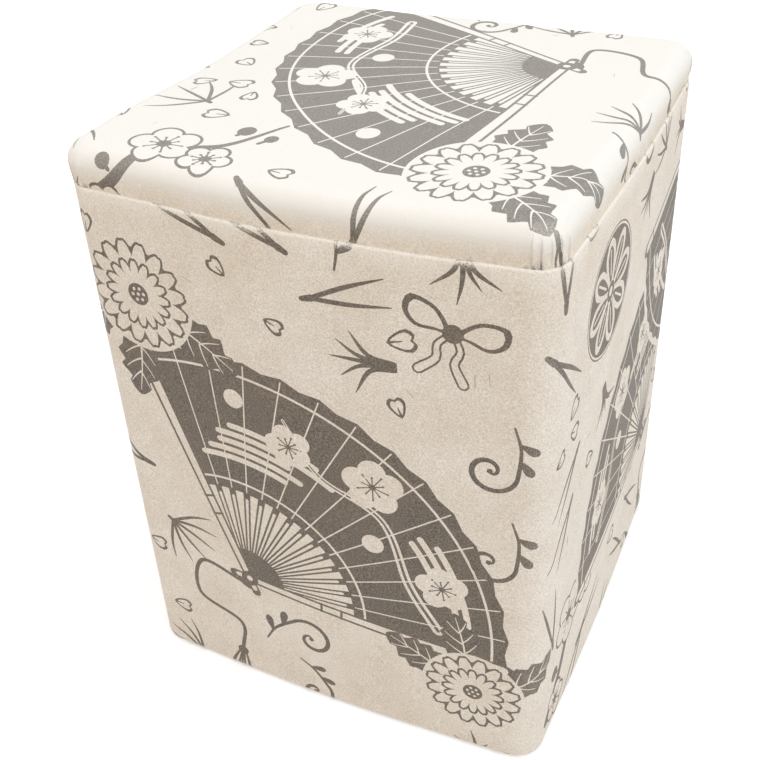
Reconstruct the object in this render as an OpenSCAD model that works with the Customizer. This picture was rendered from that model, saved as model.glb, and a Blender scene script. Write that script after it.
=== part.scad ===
// Square tea caddy: a tinplate can covered in paper, with a plug lid and an inner lid.
// Millimetres, +Z up, origin at the middle of the foot, front face towards -Y.

/* [Caddy] */
// Width and depth over the paper
caddy_w = 76; // [66:1:100]
// Height over all with the lid on
caddy_h = 101; // [80:1:150]
// Radius of the upright corners over the paper
corner_r = 5; // [4.5:0.5:12]

/* [Paper] */
// Thickness of the pasted paper
paper_t = 0.25; // [0.15:0.05:0.35]
// Length of paper tucked down inside the rim
paper_tuck = 10; // [5:1:12]
// Width of paper turned under the foot
paper_turn = 3; // [2:0.5:3.5]

/* [Body] */
// Thickness of the tinplate
tin_t = 0.3; // [0.2:0.05:0.4]
// Radius of the foot's edge over the paper
foot_r = 1; // [0.6:0.1:1.5]
// Width of the hem that carries the base, measured over the shell
hem_w = 3; // [2:0.25:3.25]
// Width of the lock seam down the back of the shell
seam_w = 6; // [4:0.5:10]

/* [Liner and base] */
// Depth of the ledge for the inner lid below the rim
ledge_depth = 11; // [8:0.5:20]
// Width of the ledge for the inner lid
ledge_w = 1.6; // [1.2:0.1:1.8]
// Height of the countersunk base panel above its flange
base_rise = 1.7; // [1:0.1:3]
// Play between the liner and the base panel's wall
base_play = 0.4; // [0.2:0.1:0.5]
// Play between the base paper and the base panel's wall
base_paper_play = 0.3; // [0.1:0.1:0.5]
// Play between the shell's lock seam and the pieces above it
seam_play = 0.6; // [0.3:0.1:2]

/* [Lid] */
// Height of the lid that stands above the rim
lid_show = 6; // [5:0.5:10]
// Radius of the lid's shoulder over the paper
shoulder_r = 3; // [2.5:0.25:4.25]
// Step from the body's face in to the lid's face
lid_inset = 0.4; // [0.2:0.1:0.6]
// Gap between the lid's edge and the rim
lid_gap = 0.15; // [0.1:0.05:0.5]
// Gap between the collar's foot and the inner lid's edge
collar_gap = 0.8; // [0.4:0.1:4]
// Play between the collar and the neck, each side
collar_play = 0.25; // [0.15:0.05:0.35]
// Radius of the bead rolled at the collar's foot
bead_r = 0.5; // [0.4:0.05:0.7]
// Play between the collar and the lid's hem and shoulder
collar_seat = 0.05; // [0.02:0.01:0.1]

/* [Inner lid] */
// Depth of the pressed pan below the ledge
pan_depth = 7; // [4:0.5:12]
// Play between the pan and the liner, each side
pan_play = 0.2; // [0.15:0.05:0.3]
// Play between the inner lid's edge and the neck, each side
edge_play = 0.3; // [0.2:0.05:0.4]
// Gap between the inner lid's edge and its ledge
edge_gap = 0.05; // [0:0.05:0.2]
// Height of the turned-up edge
pan_edge_h = 1.6; // [1:0.1:2]
// Widest diameter of the knob
knob_d = 16; // [10:0.5:24]
// Height of the knob above the pan floor
knob_h = 8; // [6:0.5:8]
// Diameter of the knob's stem
stem_d = 8; // [7:0.5:9]
// Thickness of the knob's head at its edge
knob_edge = 1.6; // [1:0.2:2.4]
// Diameter of the rivet's shank
rivet_d = 3; // [2:0.25:4]
// Play between the rivet's shank and its holes, each side
rivet_play = 0.1; // [0.05:0.05:0.2]
// Depth of the rivet's bore in the knob
rivet_depth = 5; // [3:0.5:5.5]
// Diameter of the rivet's head
rivet_head_d = 6; // [5:0.5:7]
// Thickness of the rivet's head
rivet_head_t = 0.9; // [0.6:0.1:1.5]
// Thickness of the washer
washer_t = 0.6; // [0.4:0.1:1]
// Diameter of the washer
washer_d = 9; // [7.5:0.5:12]

/* [Hidden] */
$fn = 96;

// How far a cutter runs past what it cuts.
over = 1;

paper = "#e9e0d3";
tin = "#c9ccce";
bright = "#dfe1e2";

// Every upright corner turns about the same four centres, so walls nest with even gaps.
centre = caddy_w / 2 - corner_r;

// Distances of the walls from the corner centres, outermost first.
wrap_out = corner_r;
shell_out = wrap_out - paper_t;
shell_in = shell_out - tin_t;
neck_out = shell_in - paper_t;
neck_in = neck_out - tin_t;
liner_out = neck_out - ledge_w;
liner_in = liner_out - tin_t;
pan_wall_out = liner_in - base_play;
lid_out = wrap_out - lid_inset;
lid_shell_out = lid_out - paper_t;
lid_shell_in = lid_shell_out - tin_t;
collar_out = neck_in - collar_play;
collar_in = collar_out - tin_t;
inner_pan_out = liner_in - pan_play;
inner_pan_in = inner_pan_out - tin_t;
edge_out = neck_in - edge_play;
base_out = shell_in - (foot_r - paper_t - tin_t);
lip_in = collar_out + 2 * collar_seat;

// Heights, from the foot up.
rim_z = caddy_h - lid_show;
hem_z = paper_t;
flange_z = hem_z + tin_t;
panel_z = flange_z + base_rise;
liner_z = flange_z + tin_t;
ledge_z = rim_z - ledge_depth;
neck_top = rim_z - paper_t - 3 * tin_t;
lid_z = rim_z + lid_gap;
lip_z = lid_z + paper_t;
collar_flange_z = lip_z + tin_t;
pan_rim_z = ledge_z + edge_gap;
pan_floor_z = ledge_z - pan_depth;
collar_z = pan_rim_z + pan_edge_h + collar_gap;
knob_z = pan_floor_z + tin_t;
washer_z = pan_floor_z - washer_t;
rivet_hole_d = rivet_d + 2 * rivet_play;

// A shape turned round the rounded square: its x is the distance out from the corner centres.
module sweep() {
    for (i = [0:3])
        rotate(90 * i) {
            translate([centre, centre, 0])
                rotate_extrude(angle = 90) children();
            translate([centre, centre, 0])
                rotate([90, 0, 0]) linear_extrude(2 * centre) children();
        }
}

// A flat square that closes the middle of a swept plate.
module middle(z, t) {
    translate([-centre, -centre, z]) cube([2 * centre, 2 * centre, t]);
}

// A block outline from the corner centre out to x, with its foot and top edges rounded.
module block(x, z0, z1, foot, top) {
    difference() {
        translate([0, z0]) square([x, z1 - z0]);
        if (foot > 0)
            translate([x - foot, z0]) difference() {
                translate([0, -over]) square([foot + over, foot + over]);
                translate([0, foot]) circle(foot);
            }
        if (top > 0)
            translate([x - top, z1 - top]) difference() {
                square([top + over, top + over]);
                circle(top);
            }
    }
}

// An upright leg of sheet between two distances from the corner centres.
module leg(x0, x1, z0, z1) {
    translate([x0, z0]) square([x1 - x0, z1 - z0]);
}

// An upright leg whose top edge is rounded over.
module round_leg(x0, x1, z0, z1) {
    r = (x1 - x0) / 2;
    leg(x0, x1, z0, z1 - r);
    translate([x0 + r, z1 - r]) circle(r);
}

module body_wrap() {
    color(paper) sweep() difference() {
        union() {
            difference() {
                block(wrap_out, 0, rim_z - over, foot_r, 0);
                block(shell_out, hem_z, rim_z, foot_r - paper_t, 0);
                leg(-over, wrap_out - paper_turn, -over, rim_z);
            }
            round_leg(neck_out, wrap_out, rim_z - paper_tuck, rim_z);
        }
        round_leg(shell_in, shell_out, hem_z + foot_r, rim_z - paper_t);
    }
}

module body_shell() {
    color(tin) {
        sweep() {
            difference() {
                block(shell_out, hem_z, rim_z - 2 * over, foot_r - paper_t, 0);
                block(shell_in, flange_z, rim_z, foot_r - paper_t - tin_t, 0);
                leg(-over, shell_out - hem_w, 0, rim_z);
            }
            round_leg(shell_in, shell_out, rim_z - 3 * over, rim_z - paper_t);
        }
        lock_seam();
    }
}

// The folded joint down the inside of the shell's back.
module lock_seam() {
    seam_t = 2 * tin_t;
    seam_z = liner_z + seam_play;
    seam_top = min(ledge_z - tin_t, rim_z - paper_tuck) - seam_play;
    translate([-seam_w / 2, centre + shell_in - seam_t, seam_z])
        cube([seam_w, seam_t + tin_t / 2, seam_top - seam_z]);
}

module liner() {
    color(bright) sweep() {
        leg(liner_in, liner_out, liner_z, ledge_z);
        leg(liner_in, neck_out, ledge_z - tin_t, ledge_z);
        leg(neck_in, neck_out, ledge_z - tin_t, neck_top);
    }
}

module base_plate() {
    color(tin) {
        sweep() {
            leg(pan_wall_out - tin_t, base_out, flange_z, flange_z + tin_t);
            leg(pan_wall_out - tin_t, pan_wall_out, flange_z, panel_z + tin_t);
            leg(0, pan_wall_out, panel_z, panel_z + tin_t);
        }
        middle(panel_z, tin_t);
    }
}

module base_paper() {
    color(paper) {
        sweep() leg(0, pan_wall_out - tin_t - base_paper_play, panel_z - paper_t, panel_z);
        middle(panel_z - paper_t, paper_t);
    }
}

module lid_wrap() {
    color(paper) {
        sweep() difference() {
            block(lid_out, lid_z, caddy_h, tin_t, shoulder_r);
            block(lid_shell_out, lip_z, caddy_h - paper_t, 0, shoulder_r - paper_t);
            leg(-over, lip_in, lid_z - over, lip_z + tin_t);
        }
        middle(caddy_h - paper_t, paper_t);
    }
}

module lid_shell() {
    shell_top = caddy_h - paper_t;
    color(tin) {
        sweep() difference() {
            block(lid_shell_out, lip_z, shell_top, 0, shoulder_r - paper_t);
            block(lid_shell_in, collar_flange_z, shell_top - tin_t, 0, shoulder_r - paper_t - tin_t);
            leg(-over, lip_in, lip_z - over, collar_flange_z + tin_t);
        }
        middle(shell_top - tin_t, tin_t);
    }
}

module lid_collar() {
    arc_x = lid_shell_out - (shoulder_r - paper_t);
    arc_z = caddy_h - shoulder_r;
    arc_r = shoulder_r - paper_t - tin_t - collar_seat;
    top_z = arc_z + sqrt(arc_r * arc_r - (collar_out - arc_x) * (collar_out - arc_x));
    color(bright) sweep() {
        leg(collar_in, collar_out, collar_z + bead_r, top_z);
        leg(collar_in, lid_shell_in - collar_seat, collar_flange_z, collar_flange_z + tin_t);
        translate([collar_out - bead_r, collar_z + bead_r]) difference() {
            circle(bead_r);
            circle(bead_r - tin_t);
        }
    }
}

module inner_lid() {
    color(bright) difference() {
        union() {
            sweep() {
                leg(0, inner_pan_out, pan_floor_z, pan_floor_z + tin_t);
                leg(inner_pan_in, inner_pan_out, pan_floor_z, pan_rim_z + tin_t);
                leg(inner_pan_in, edge_out, pan_rim_z, pan_rim_z + tin_t);
                round_leg(edge_out - tin_t, edge_out, pan_rim_z, pan_rim_z + pan_edge_h);
            }
            middle(pan_floor_z, tin_t);
        }
        translate([0, 0, pan_floor_z - over]) cylinder(h = tin_t + 2 * over, d = rivet_hole_d);
    }
}

module inner_lid_knob() {
    head_r = (knob_d - knob_edge) / 2;
    head_z = knob_h - 2 * knob_edge;
    waist_r = head_z / 2;
    // Radius of the domed top, from its rise over the head.
    dome_r = (head_r * head_r + knob_edge * knob_edge) / (2 * knob_edge);
    color(bright) translate([0, 0, knob_z]) difference() {
        rotate_extrude() {
            difference() {
                square([stem_d / 2 + waist_r - knob_edge / 2, head_z]);
                translate([stem_d / 2 + waist_r, head_z / 2]) circle(waist_r);
            }
            translate([0, head_z]) square([head_r, knob_edge]);
            translate([head_r, head_z + knob_edge / 2]) circle(knob_edge / 2);
            intersection() {
                translate([0, head_z + knob_edge]) square([head_r, knob_edge]);
                translate([0, knob_h - dome_r]) circle(dome_r);
            }
        }
        translate([0, 0, -over]) cylinder(h = rivet_depth + over, d = rivet_hole_d);
    }
}

module knob_rivet() {
    shank_top = knob_z + rivet_depth - rivet_play;
    color(tin) {
        translate([0, 0, washer_z]) cylinder(h = shank_top - washer_z, d = rivet_d);
        translate([0, 0, washer_z - rivet_head_t]) cylinder(h = rivet_head_t, d = rivet_head_d);
    }
}

module rivet_washer() {
    color(tin) translate([0, 0, washer_z]) difference() {
        cylinder(h = washer_t, d = washer_d);
        translate([0, 0, -over]) cylinder(h = washer_t + 2 * over, d = rivet_hole_d);
    }
}

body_wrap();
body_shell();
liner();
base_plate();
base_paper();
lid_wrap();
lid_shell();
lid_collar();
inner_lid();
inner_lid_knob();
knob_rivet();
rivet_washer();
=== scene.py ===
import math
import random
import bmesh
import bpy
import numpy as np
from mathutils import Matrix, Vector
from mathutils.bvhtree import BVHTree
from mathutils.geometry import delaunay_2d_cdt


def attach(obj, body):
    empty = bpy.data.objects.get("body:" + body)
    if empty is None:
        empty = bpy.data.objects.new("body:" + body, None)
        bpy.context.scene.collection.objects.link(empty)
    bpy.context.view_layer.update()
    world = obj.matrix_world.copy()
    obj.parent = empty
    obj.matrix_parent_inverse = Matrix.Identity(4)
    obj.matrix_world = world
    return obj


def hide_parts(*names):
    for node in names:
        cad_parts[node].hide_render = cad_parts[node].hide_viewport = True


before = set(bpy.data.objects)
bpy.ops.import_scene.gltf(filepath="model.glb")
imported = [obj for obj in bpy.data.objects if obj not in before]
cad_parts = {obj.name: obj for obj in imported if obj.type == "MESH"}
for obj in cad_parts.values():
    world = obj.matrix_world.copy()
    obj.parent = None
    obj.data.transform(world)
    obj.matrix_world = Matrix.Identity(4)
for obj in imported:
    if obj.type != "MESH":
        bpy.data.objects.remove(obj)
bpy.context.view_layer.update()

# A square tea caddy in printed washi. The paper is cut flat, printed and wrapped; everything under it is tinplate.
mm = 0.001
scene = bpy.context.scene
print("frame loaded")


def linear(hexColour):   # an sRGB hex value as the linear colour that Blender works in
    out = []
    for k in (1, 3, 5):
        c = int(hexColour[k:k + 2], 16) / 255
        out.append(c / 12.92 if c <= 0.04045 else ((c + 0.055) / 1.055) ** 2.4)
    return (*out, 1.0)


def addNode(tree, kind, settings=None, inputs=None):   # one node, with its settings, values and links
    made = tree.nodes.new(kind)
    for key, value in (settings or {}).items():
        setattr(made, key, value)
    for key, value in (inputs or {}).items():
        if isinstance(value, bpy.types.NodeSocket):
            tree.links.new(value, made.inputs[key])
        else:
            made.inputs[key].default_value = value
    return made


def newMaterial(name):   # an empty material, with its tree and each point's place on the object
    material = bpy.data.materials.new(name)
    material.use_nodes = True
    tree = material.node_tree
    tree.nodes.clear()
    return material, tree, addNode(tree, "ShaderNodeTexCoord").outputs["Object"]


def addObject(name, data):   # an object at the origin, with its place in its mesh
    made = bpy.data.objects.new(name, data)
    scene.collection.objects.link(made)
    return made


def declare(piece, body, node=None):   # the body it moves with, and the CAD node it stands for, which it hides
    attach(piece, body)
    if node:
        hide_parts(node)


# camera

photoCamera = {
    "location": (69.60, -150.22, 161.87),   # mm
    "aim": (-3.08, -1.51, 49.42),           # mm, a point on the lens axis
    "roll": -2.476,                         # degrees
    "lens": 51.99,                          # mm on a 36 mm sensor
    "sensorWidth": 36.0,
    "shift": (-0.0164, -0.0244),            # the photograph is a crop, its middle lies beside the lens axis
}

cameraData = bpy.data.cameras.new("photoCamera")
cameraData.lens = photoCamera["lens"]
cameraData.sensor_fit = "AUTO"
cameraData.sensor_width = photoCamera["sensorWidth"]
cameraData.shift_x, cameraData.shift_y = photoCamera["shift"]
cameraData.clip_start, cameraData.clip_end = 0.01, 20
camera = addObject("photoCamera", cameraData)
lookAlong = (Vector(photoCamera["aim"]) - Vector(photoCamera["location"])).normalized()
level = lookAlong.cross(Vector((0, 0, 1))).normalized()
turn = Matrix.Rotation(math.radians(photoCamera["roll"]), 3, -lookAlong)
cameraRight = (turn @ level).normalized()
cameraUp = cameraRight.cross(lookAlong)
axes = Matrix((cameraRight, cameraUp, -lookAlong)).transposed().to_4x4()
camera.matrix_world = Matrix.Translation(Vector(photoCamera["location"]) * mm) @ axes
scene.camera = camera


# floor, world and lamps

studio = {
    "worldStrength": 0.38,
    "worldColour": "#fff9f2",
    "floorColour": "#f2f3f4",
    "floorLift": (0.34, 1.0),      # brightens the floor, so that it reads white outside the shadow
    "liftFrom": (0.16, 0.75),      # metres from the caddy: where that starts to grow, and where the floor is white
    "mirrorShare": 0.4,            # how much of it a mirror sees: bright metal needs a greyer horizon
    "floorReach": 3.0, "floorDrop": 0.0002,   # metres
}


def seenPlain(tree, mirrorShare=1.0):   # 1 where the eye, a mirror or a glass looks, 0 where light only bounces
    path = addNode(tree, "ShaderNodeLightPath")
    mirrored = addNode(tree, "ShaderNodeMath", {"operation": "MULTIPLY"},
                       {0: path.outputs["Is Glossy Ray"], 1: mirrorShare})
    seen = addNode(tree, "ShaderNodeMath", {"operation": "MAXIMUM"},
                   {0: path.outputs["Is Camera Ray"], 1: mirrored.outputs[0]})
    seen = addNode(tree, "ShaderNodeMath", {"operation": "MAXIMUM"},
                   {0: seen.outputs[0], 1: path.outputs["Is Transmission Ray"]})
    return seen.outputs[0]


world = bpy.data.worlds.new("paleStudio")
scene.world = world
world.use_nodes = True
tree = world.node_tree
tree.nodes.clear()
fill = addNode(tree, "ShaderNodeBackground", None,
               {"Color": linear(studio["worldColour"]), "Strength": studio["worldStrength"]})
white = addNode(tree, "ShaderNodeBackground", None, {"Color": (1, 1, 1, 1), "Strength": 1.0})
mix = addNode(tree, "ShaderNodeMixShader", None, {0: seenPlain(tree), 1: fill.outputs[0], 2: white.outputs[0]})
addNode(tree, "ShaderNodeOutputWorld", None, {"Surface": mix.outputs[0]})

floorMaterial, tree, place = newMaterial("paleFloor")
away = addNode(tree, "ShaderNodeVectorMath", {"operation": "LENGTH"}, {0: place})
grow = addNode(tree, "ShaderNodeMapRange", {"interpolation_type": "SMOOTHSTEP"}, {
    "Value": away.outputs["Value"], "From Min": studio["liftFrom"][0], "From Max": studio["liftFrom"][1],
    "To Min": studio["floorLift"][0], "To Max": studio["floorLift"][1]})
strength = addNode(tree, "ShaderNodeMath", {"operation": "MULTIPLY"}, {
    0: grow.outputs[0], 1: seenPlain(tree, studio["mirrorShare"])})
matt = addNode(tree, "ShaderNodeBsdfDiffuse", None, {"Color": linear(studio["floorColour"])})
lift = addNode(tree, "ShaderNodeEmission", None, {"Color": (1, 1, 1, 1), "Strength": strength.outputs[0]})
both = addNode(tree, "ShaderNodeAddShader", None, {0: matt.outputs[0], 1: lift.outputs[0]})
addNode(tree, "ShaderNodeOutputMaterial", None, {"Surface": both.outputs[0]})

floorMesh = bpy.data.meshes.new("floor")
floorMesh.from_pydata([(x * studio["floorReach"], y * studio["floorReach"], -studio["floorDrop"])
                       for x, y in ((-1, -1), (1, -1), (1, 1), (-1, 1))], [], [(0, 1, 2, 3)])
floorMesh.materials.append(floorMaterial)
addObject("floor", floorMesh)

lamps = {   # name: place and aim in metres, width and height in metres, watts, colour
    "overheadSoftbox": ((0.02, -0.02, 0.95), (0, 0, 0.10), 0.9, 0.8, 5.7, "#f4f8ff"),
    "rightWindow": ((0.85, -0.15, 0.42), (0, 0, 0.05), 0.7, 0.7, 2.6, "#ffffff"),
    "frontFill": ((-0.6, -0.8, 0.46), (0, 0, 0.05), 0.8, 0.6, 1.9, "#ffe2c0"),
}
for name, (place, aim, width, height, watts, colour) in lamps.items():
    data = bpy.data.lights.new(name, "AREA")
    data.shape, data.size, data.size_y = "RECTANGLE", width, height
    data.energy, data.color = watts, linear(colour)[:3]
    facing = (Vector(place) - Vector(aim)).to_track_quat("Z", "Y").to_matrix().to_4x4()
    addObject(name, data).matrix_world = Matrix.Translation(place) @ facing

scene.view_settings.view_transform = "Standard"
print("camera, floor and lamps set")


# materials

washi = {   # kozo paper, hand-made and unsized: matt, faintly mottled, with long fibres that catch the light
    "paper": "#f4ece0",
    "cloud": "#ebe0d1",       # where the pulp lies thicker
    "fibre": "#fcf8f1",
    "wearAndHighlight": "#fbf6ec",      # where a fold is rubbed, the fibres stand up pale; along the rim's fold this paler colour is also a painted highlight
    "paintedShade": "#e2d0b2",     # painted shade: a warm, darker tint down the lid's sides to its foot and towards the top of the body's walls
    "ink": "#4f4437",         # pigment printed by screen, thin enough for the paper's tooth to break it up
    "inkThin": "#5f5241",
    "paintedLightPaper": "#f7f5ef",    # painted light: the lid's top and upper sides are painted paler, with greyer ink, for the brighter light there
    "paintedLightInk": "#7c766e",
    "paintedLightFrom": 95.4, "paintedLightTo": 99.4,   # mm above the foot, where that painted light starts and where it is full
    "cloudSize": 7.0,         # mm
    "grainSize": 0.24,        # mm, drawn coarser than the paper's real tooth so that it shows
    "grainShade": (0.78, 1.1),
    "fibreWidth": 0.16, "fibreSpacing": 5.0, "fibreRun": 2.6,   # mm
    "bendSize": 3.5, "bendReach": 4.0,                          # mm, how the fibres wander
    "fibreShare": 0.45,       # how pale the fibres show
    "paintedLightShare": 0.95,        # how strongly the lid's top is painted paler
    "roughness": 0.86,
    "inkRoughness": 0.62,
    "tooth": 0.06,            # mm, height of the bump
}


def makeWashi():
    material, tree, place = newMaterial("washiPaper")
    perMm = 1 / mm   # a texture's scale is 1 over the size of what it draws, in metres
    cloud = addNode(tree, "ShaderNodeTexNoise", None,
                    {"Vector": place, "Scale": perMm / washi["cloudSize"], "Detail": 4.0, "Roughness": 0.62})
    grain = addNode(tree, "ShaderNodeTexNoise", None,
                    {"Vector": place, "Scale": perMm / washi["grainSize"], "Detail": 2.0, "Roughness": 0.6})
    # fibres: the cell borders of a warped Voronoi, broken up so that they start and stop
    warp = addNode(tree, "ShaderNodeTexNoise", None,
                   {"Vector": place, "Scale": perMm / washi["bendSize"], "Detail": 2.0})
    bend = addNode(tree, "ShaderNodeVectorMath", {"operation": "MULTIPLY_ADD"}, {
        0: warp.outputs["Color"], 1: (washi["bendReach"] * mm,) * 3, 2: place})
    cells = addNode(tree, "ShaderNodeTexVoronoi", {"feature": "DISTANCE_TO_EDGE"}, {
        "Vector": bend.outputs[0], "Scale": perMm / washi["fibreSpacing"]})
    strand = addNode(tree, "ShaderNodeMapRange", {"interpolation_type": "SMOOTHSTEP"}, {
        "Value": cells.outputs["Distance"], "From Min": 0.0, "From Max": washi["fibreWidth"] / washi["fibreSpacing"],
        "To Min": 1.0, "To Max": 0.0})
    patch = addNode(tree, "ShaderNodeTexNoise", None,
                    {"Vector": place, "Scale": perMm / washi["fibreRun"], "Detail": 1.0})
    part = addNode(tree, "ShaderNodeMapRange", None,
                   {"Value": patch.outputs["Fac"], "From Min": 0.48, "From Max": 0.62})
    fibre = addNode(tree, "ShaderNodeMath", {"operation": "MULTIPLY"}, {0: strand.outputs[0], 1: part.outputs[0]})
    # paper colour: cloudy pulp, grain, fibres a little lighter
    cloudy = addNode(tree, "ShaderNodeMapRange", None,
                     {"Value": cloud.outputs["Fac"], "From Min": 0.35, "From Max": 0.72})
    base = addNode(tree, "ShaderNodeMix", {"data_type": "RGBA"},
                   {0: cloudy.outputs[0], 6: linear(washi["paper"]), 7: linear(washi["cloud"])})
    faint = addNode(tree, "ShaderNodeMath", {"operation": "MULTIPLY"}, {0: fibre.outputs[0], 1: washi["fibreShare"]})
    base = addNode(tree, "ShaderNodeMix", {"data_type": "RGBA"},
                   {0: faint.outputs[0], 6: base.outputs[2], 7: linear(washi["fibre"])})
    shade = addNode(tree, "ShaderNodeMapRange", None, {
        "Value": grain.outputs["Fac"], "From Min": 0.34, "From Max": 0.66,
        "To Min": washi["grainShade"][0], "To Max": washi["grainShade"][1]})
    base = addNode(tree, "ShaderNodeVectorMath", {"operation": "SCALE"},
                   {0: base.outputs[2], "Scale": shade.outputs[0]})
    # painted light: up the lid's side and over its top the paper is painted paler
    up = addNode(tree, "ShaderNodeSeparateXYZ", None, {0: place})
    paintedLightRise = addNode(tree, "ShaderNodeMapRange", {"interpolation_type": "SMOOTHSTEP"}, {
        "Value": up.outputs[2], "From Min": washi["paintedLightFrom"] * mm, "From Max": washi["paintedLightTo"] * mm})
    pale = addNode(tree, "ShaderNodeMath", {"operation": "MULTIPLY"}, {0: paintedLightRise.outputs[0], 1: washi["paintedLightShare"]})
    base = addNode(tree, "ShaderNodeMix", {"data_type": "RGBA"},
                   {0: pale.outputs[0], 6: base.outputs[0], 7: linear(washi["paintedLightPaper"])})
    # painted shade: a warm, darker tint down the lid's sides and towards the top of the body's walls
    shadeMask = addNode(tree, "ShaderNodeAttribute", {"attribute_type": "GEOMETRY", "attribute_name": "paintedShade"})
    shadeAmount = addNode(tree, "ShaderNodeMath", {"operation": "MULTIPLY"},
                    {0: shadeMask.outputs["Fac"], 1: cloud.outputs["Fac"]})
    base = addNode(tree, "ShaderNodeMix", {"data_type": "RGBA"},
                   {0: shadeAmount.outputs[0], 6: base.outputs[2], 7: linear(washi["paintedShade"])})
    # ink: its cover thins where the tooth stands up, where a fold is rubbed and under the rim's painted highlight
    markAmount = addNode(tree, "ShaderNodeAttribute", {"attribute_type": "GEOMETRY", "attribute_name": "wearAndHighlight"})
    rubAndHighlight = addNode(tree, "ShaderNodeMath", {"operation": "MULTIPLY_ADD", "use_clamp": True},
                  {0: grain.outputs["Fac"], 1: 1.4, 2: -0.2})
    rubAndHighlight = addNode(tree, "ShaderNodeMath", {"operation": "MULTIPLY", "use_clamp": True},
                  {0: rubAndHighlight.outputs[0], 1: markAmount.outputs["Fac"]})
    base = addNode(tree, "ShaderNodeMix", {"data_type": "RGBA"},
                   {0: rubAndHighlight.outputs[0], 6: base.outputs[2], 7: linear(washi["wearAndHighlight"])})
    cover = addNode(tree, "ShaderNodeMapRange", None,
                    {"Value": grain.outputs["Fac"], "From Min": 0.35, "From Max": 0.68, "To Min": 1.0, "To Max": 0.8})
    kept = addNode(tree, "ShaderNodeMapRange", None, {"Value": rubAndHighlight.outputs[0], "To Min": 1.0, "To Max": 0.1})
    cover = addNode(tree, "ShaderNodeMath", {"operation": "MULTIPLY"}, {0: cover.outputs[0], 1: kept.outputs[0]})
    ink = addNode(tree, "ShaderNodeMix", {"data_type": "RGBA"},
                  {0: cloudy.outputs[0], 6: linear(washi["ink"]), 7: linear(washi["inkThin"])})
    # and the ink there is painted greyer, with the same painted light
    ink = addNode(tree, "ShaderNodeMix", {"data_type": "RGBA"},
                  {0: paintedLightRise.outputs[0], 6: ink.outputs[2], 7: linear(washi["paintedLightInk"])})
    printed = addNode(tree, "ShaderNodeAttribute", {"attribute_type": "GEOMETRY", "attribute_name": "ink"})
    amount = addNode(tree, "ShaderNodeMath", {"operation": "MULTIPLY"},
                     {0: printed.outputs["Fac"], 1: cover.outputs[0]})
    colour = addNode(tree, "ShaderNodeMix", {"data_type": "RGBA"},
                     {0: amount.outputs[0], 6: base.outputs[2], 7: ink.outputs[2]})
    rough = addNode(tree, "ShaderNodeMapRange", None,
                    {"Value": amount.outputs[0], "To Min": washi["roughness"], "To Max": washi["inkRoughness"]})
    height = addNode(tree, "ShaderNodeMath", {"operation": "MULTIPLY_ADD"},
                     {0: fibre.outputs[0], 1: 0.6, 2: grain.outputs["Fac"]})
    bump = addNode(tree, "ShaderNodeBump", None,
                   {"Height": height.outputs[0], "Distance": washi["tooth"] * mm, "Strength": 0.8})
    shader = addNode(tree, "ShaderNodeBsdfPrincipled", None, {
        "Base Color": colour.outputs[2], "Roughness": rough.outputs[0], "Normal": bump.outputs[0], "IOR": 1.5,
        "Sheen Weight": 0.12, "Sheen Roughness": 0.5, "Sheen Tint": (1, 1, 1, 1)})
    addNode(tree, "ShaderNodeOutputMaterial", None, {"Surface": shader.outputs[0]})
    return material


washiMaterial = makeWashi()
print("materials made")


# drawing the print: flat outlines in millimetres, laid over each other, True for ink, False for bare paper

def smoothLine(points, closed=False, step=0.7):   # a flowing line through a few set points
    pts = np.array(points, float)
    if closed:
        pts = np.vstack([pts[-1:], pts, pts[:2]])
    else:
        pts = np.vstack([2 * pts[:1] - pts[1:2], pts, 2 * pts[-1:] - pts[-2:-1]])
    out = []
    for a, b, c, d in zip(pts, pts[1:], pts[2:], pts[3:]):
        for t in np.arange(max(2, int(np.hypot(*(c - b)) / step))) / max(2, int(np.hypot(*(c - b)) / step)):
            out.append(0.5 * (2 * b + (c - a) * t + (2 * a - 5 * b + 4 * c - d) * t * t
                              + (3 * b - a - 3 * c + d) * t ** 3))
    if not closed:
        out.append(pts[-2])
    return np.array(out)


def brush(points, width, start=1.0, end=1.0, swell=0.0):   # one pull of the brush, round at both ends
    line = np.array(points, float)
    way = np.gradient(line, axis=0)
    way /= np.maximum(np.hypot(way[:, 0], way[:, 1]), 1e-9)[:, None]
    across = np.c_[-way[:, 1], way[:, 0]]
    t = np.linspace(0, 1, len(line))
    half = np.maximum(width / 2 * (start + (end - start) * t + swell * np.sin(math.pi * t)), 0.05)
    round1 = np.linspace(0, math.pi, 5)[1:-1, None]
    tip = line[-1] + half[-1] * (np.cos(round1) * across[-1] + np.sin(round1) * way[-1])
    tail = line[0] + half[0] * (-np.cos(round1) * across[0] - np.sin(round1) * way[0])
    return np.vstack([line + across * half[:, None], tip, (line - across * half[:, None])[::-1], tail])


def arc(radius, start, end, step=0.7):
    n = max(6, int(abs(math.radians(end - start)) * radius / step) + 1)
    a = np.radians(np.linspace(start, end, n))
    return np.c_[radius * np.cos(a), radius * np.sin(a)]


def disc(radius, x=0.0, y=0.0):
    return arc(radius, 0, 360, step=0.6)[:-1] + (x, y)


def spoke(degrees):   # the direction at an angle, 0 along +X
    return math.cos(math.radians(degrees)), math.sin(math.radians(degrees))


def place(layers, x, y, turn=0.0, flip=False):
    c, s = spoke(turn)
    return [((outline * (-1 if flip else 1, 1)) @ np.array([[c, s], [-s, c]]) + (x, y), ink)
            for outline, ink in layers]


def petal(length, width, notch=0.0, start=0.0):   # along +X from the origin
    half = width / 2
    return smoothLine([(start, 0), (length * 0.35, half * 0.72), (length * 0.75, half), (length * 0.97, half * 0.45),
                       (length * (1 - notch), 0), (length * 0.97, -half * 0.45), (length * 0.75, -half),
                       (length * 0.35, -half * 0.72)], closed=True, step=0.75)


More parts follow.
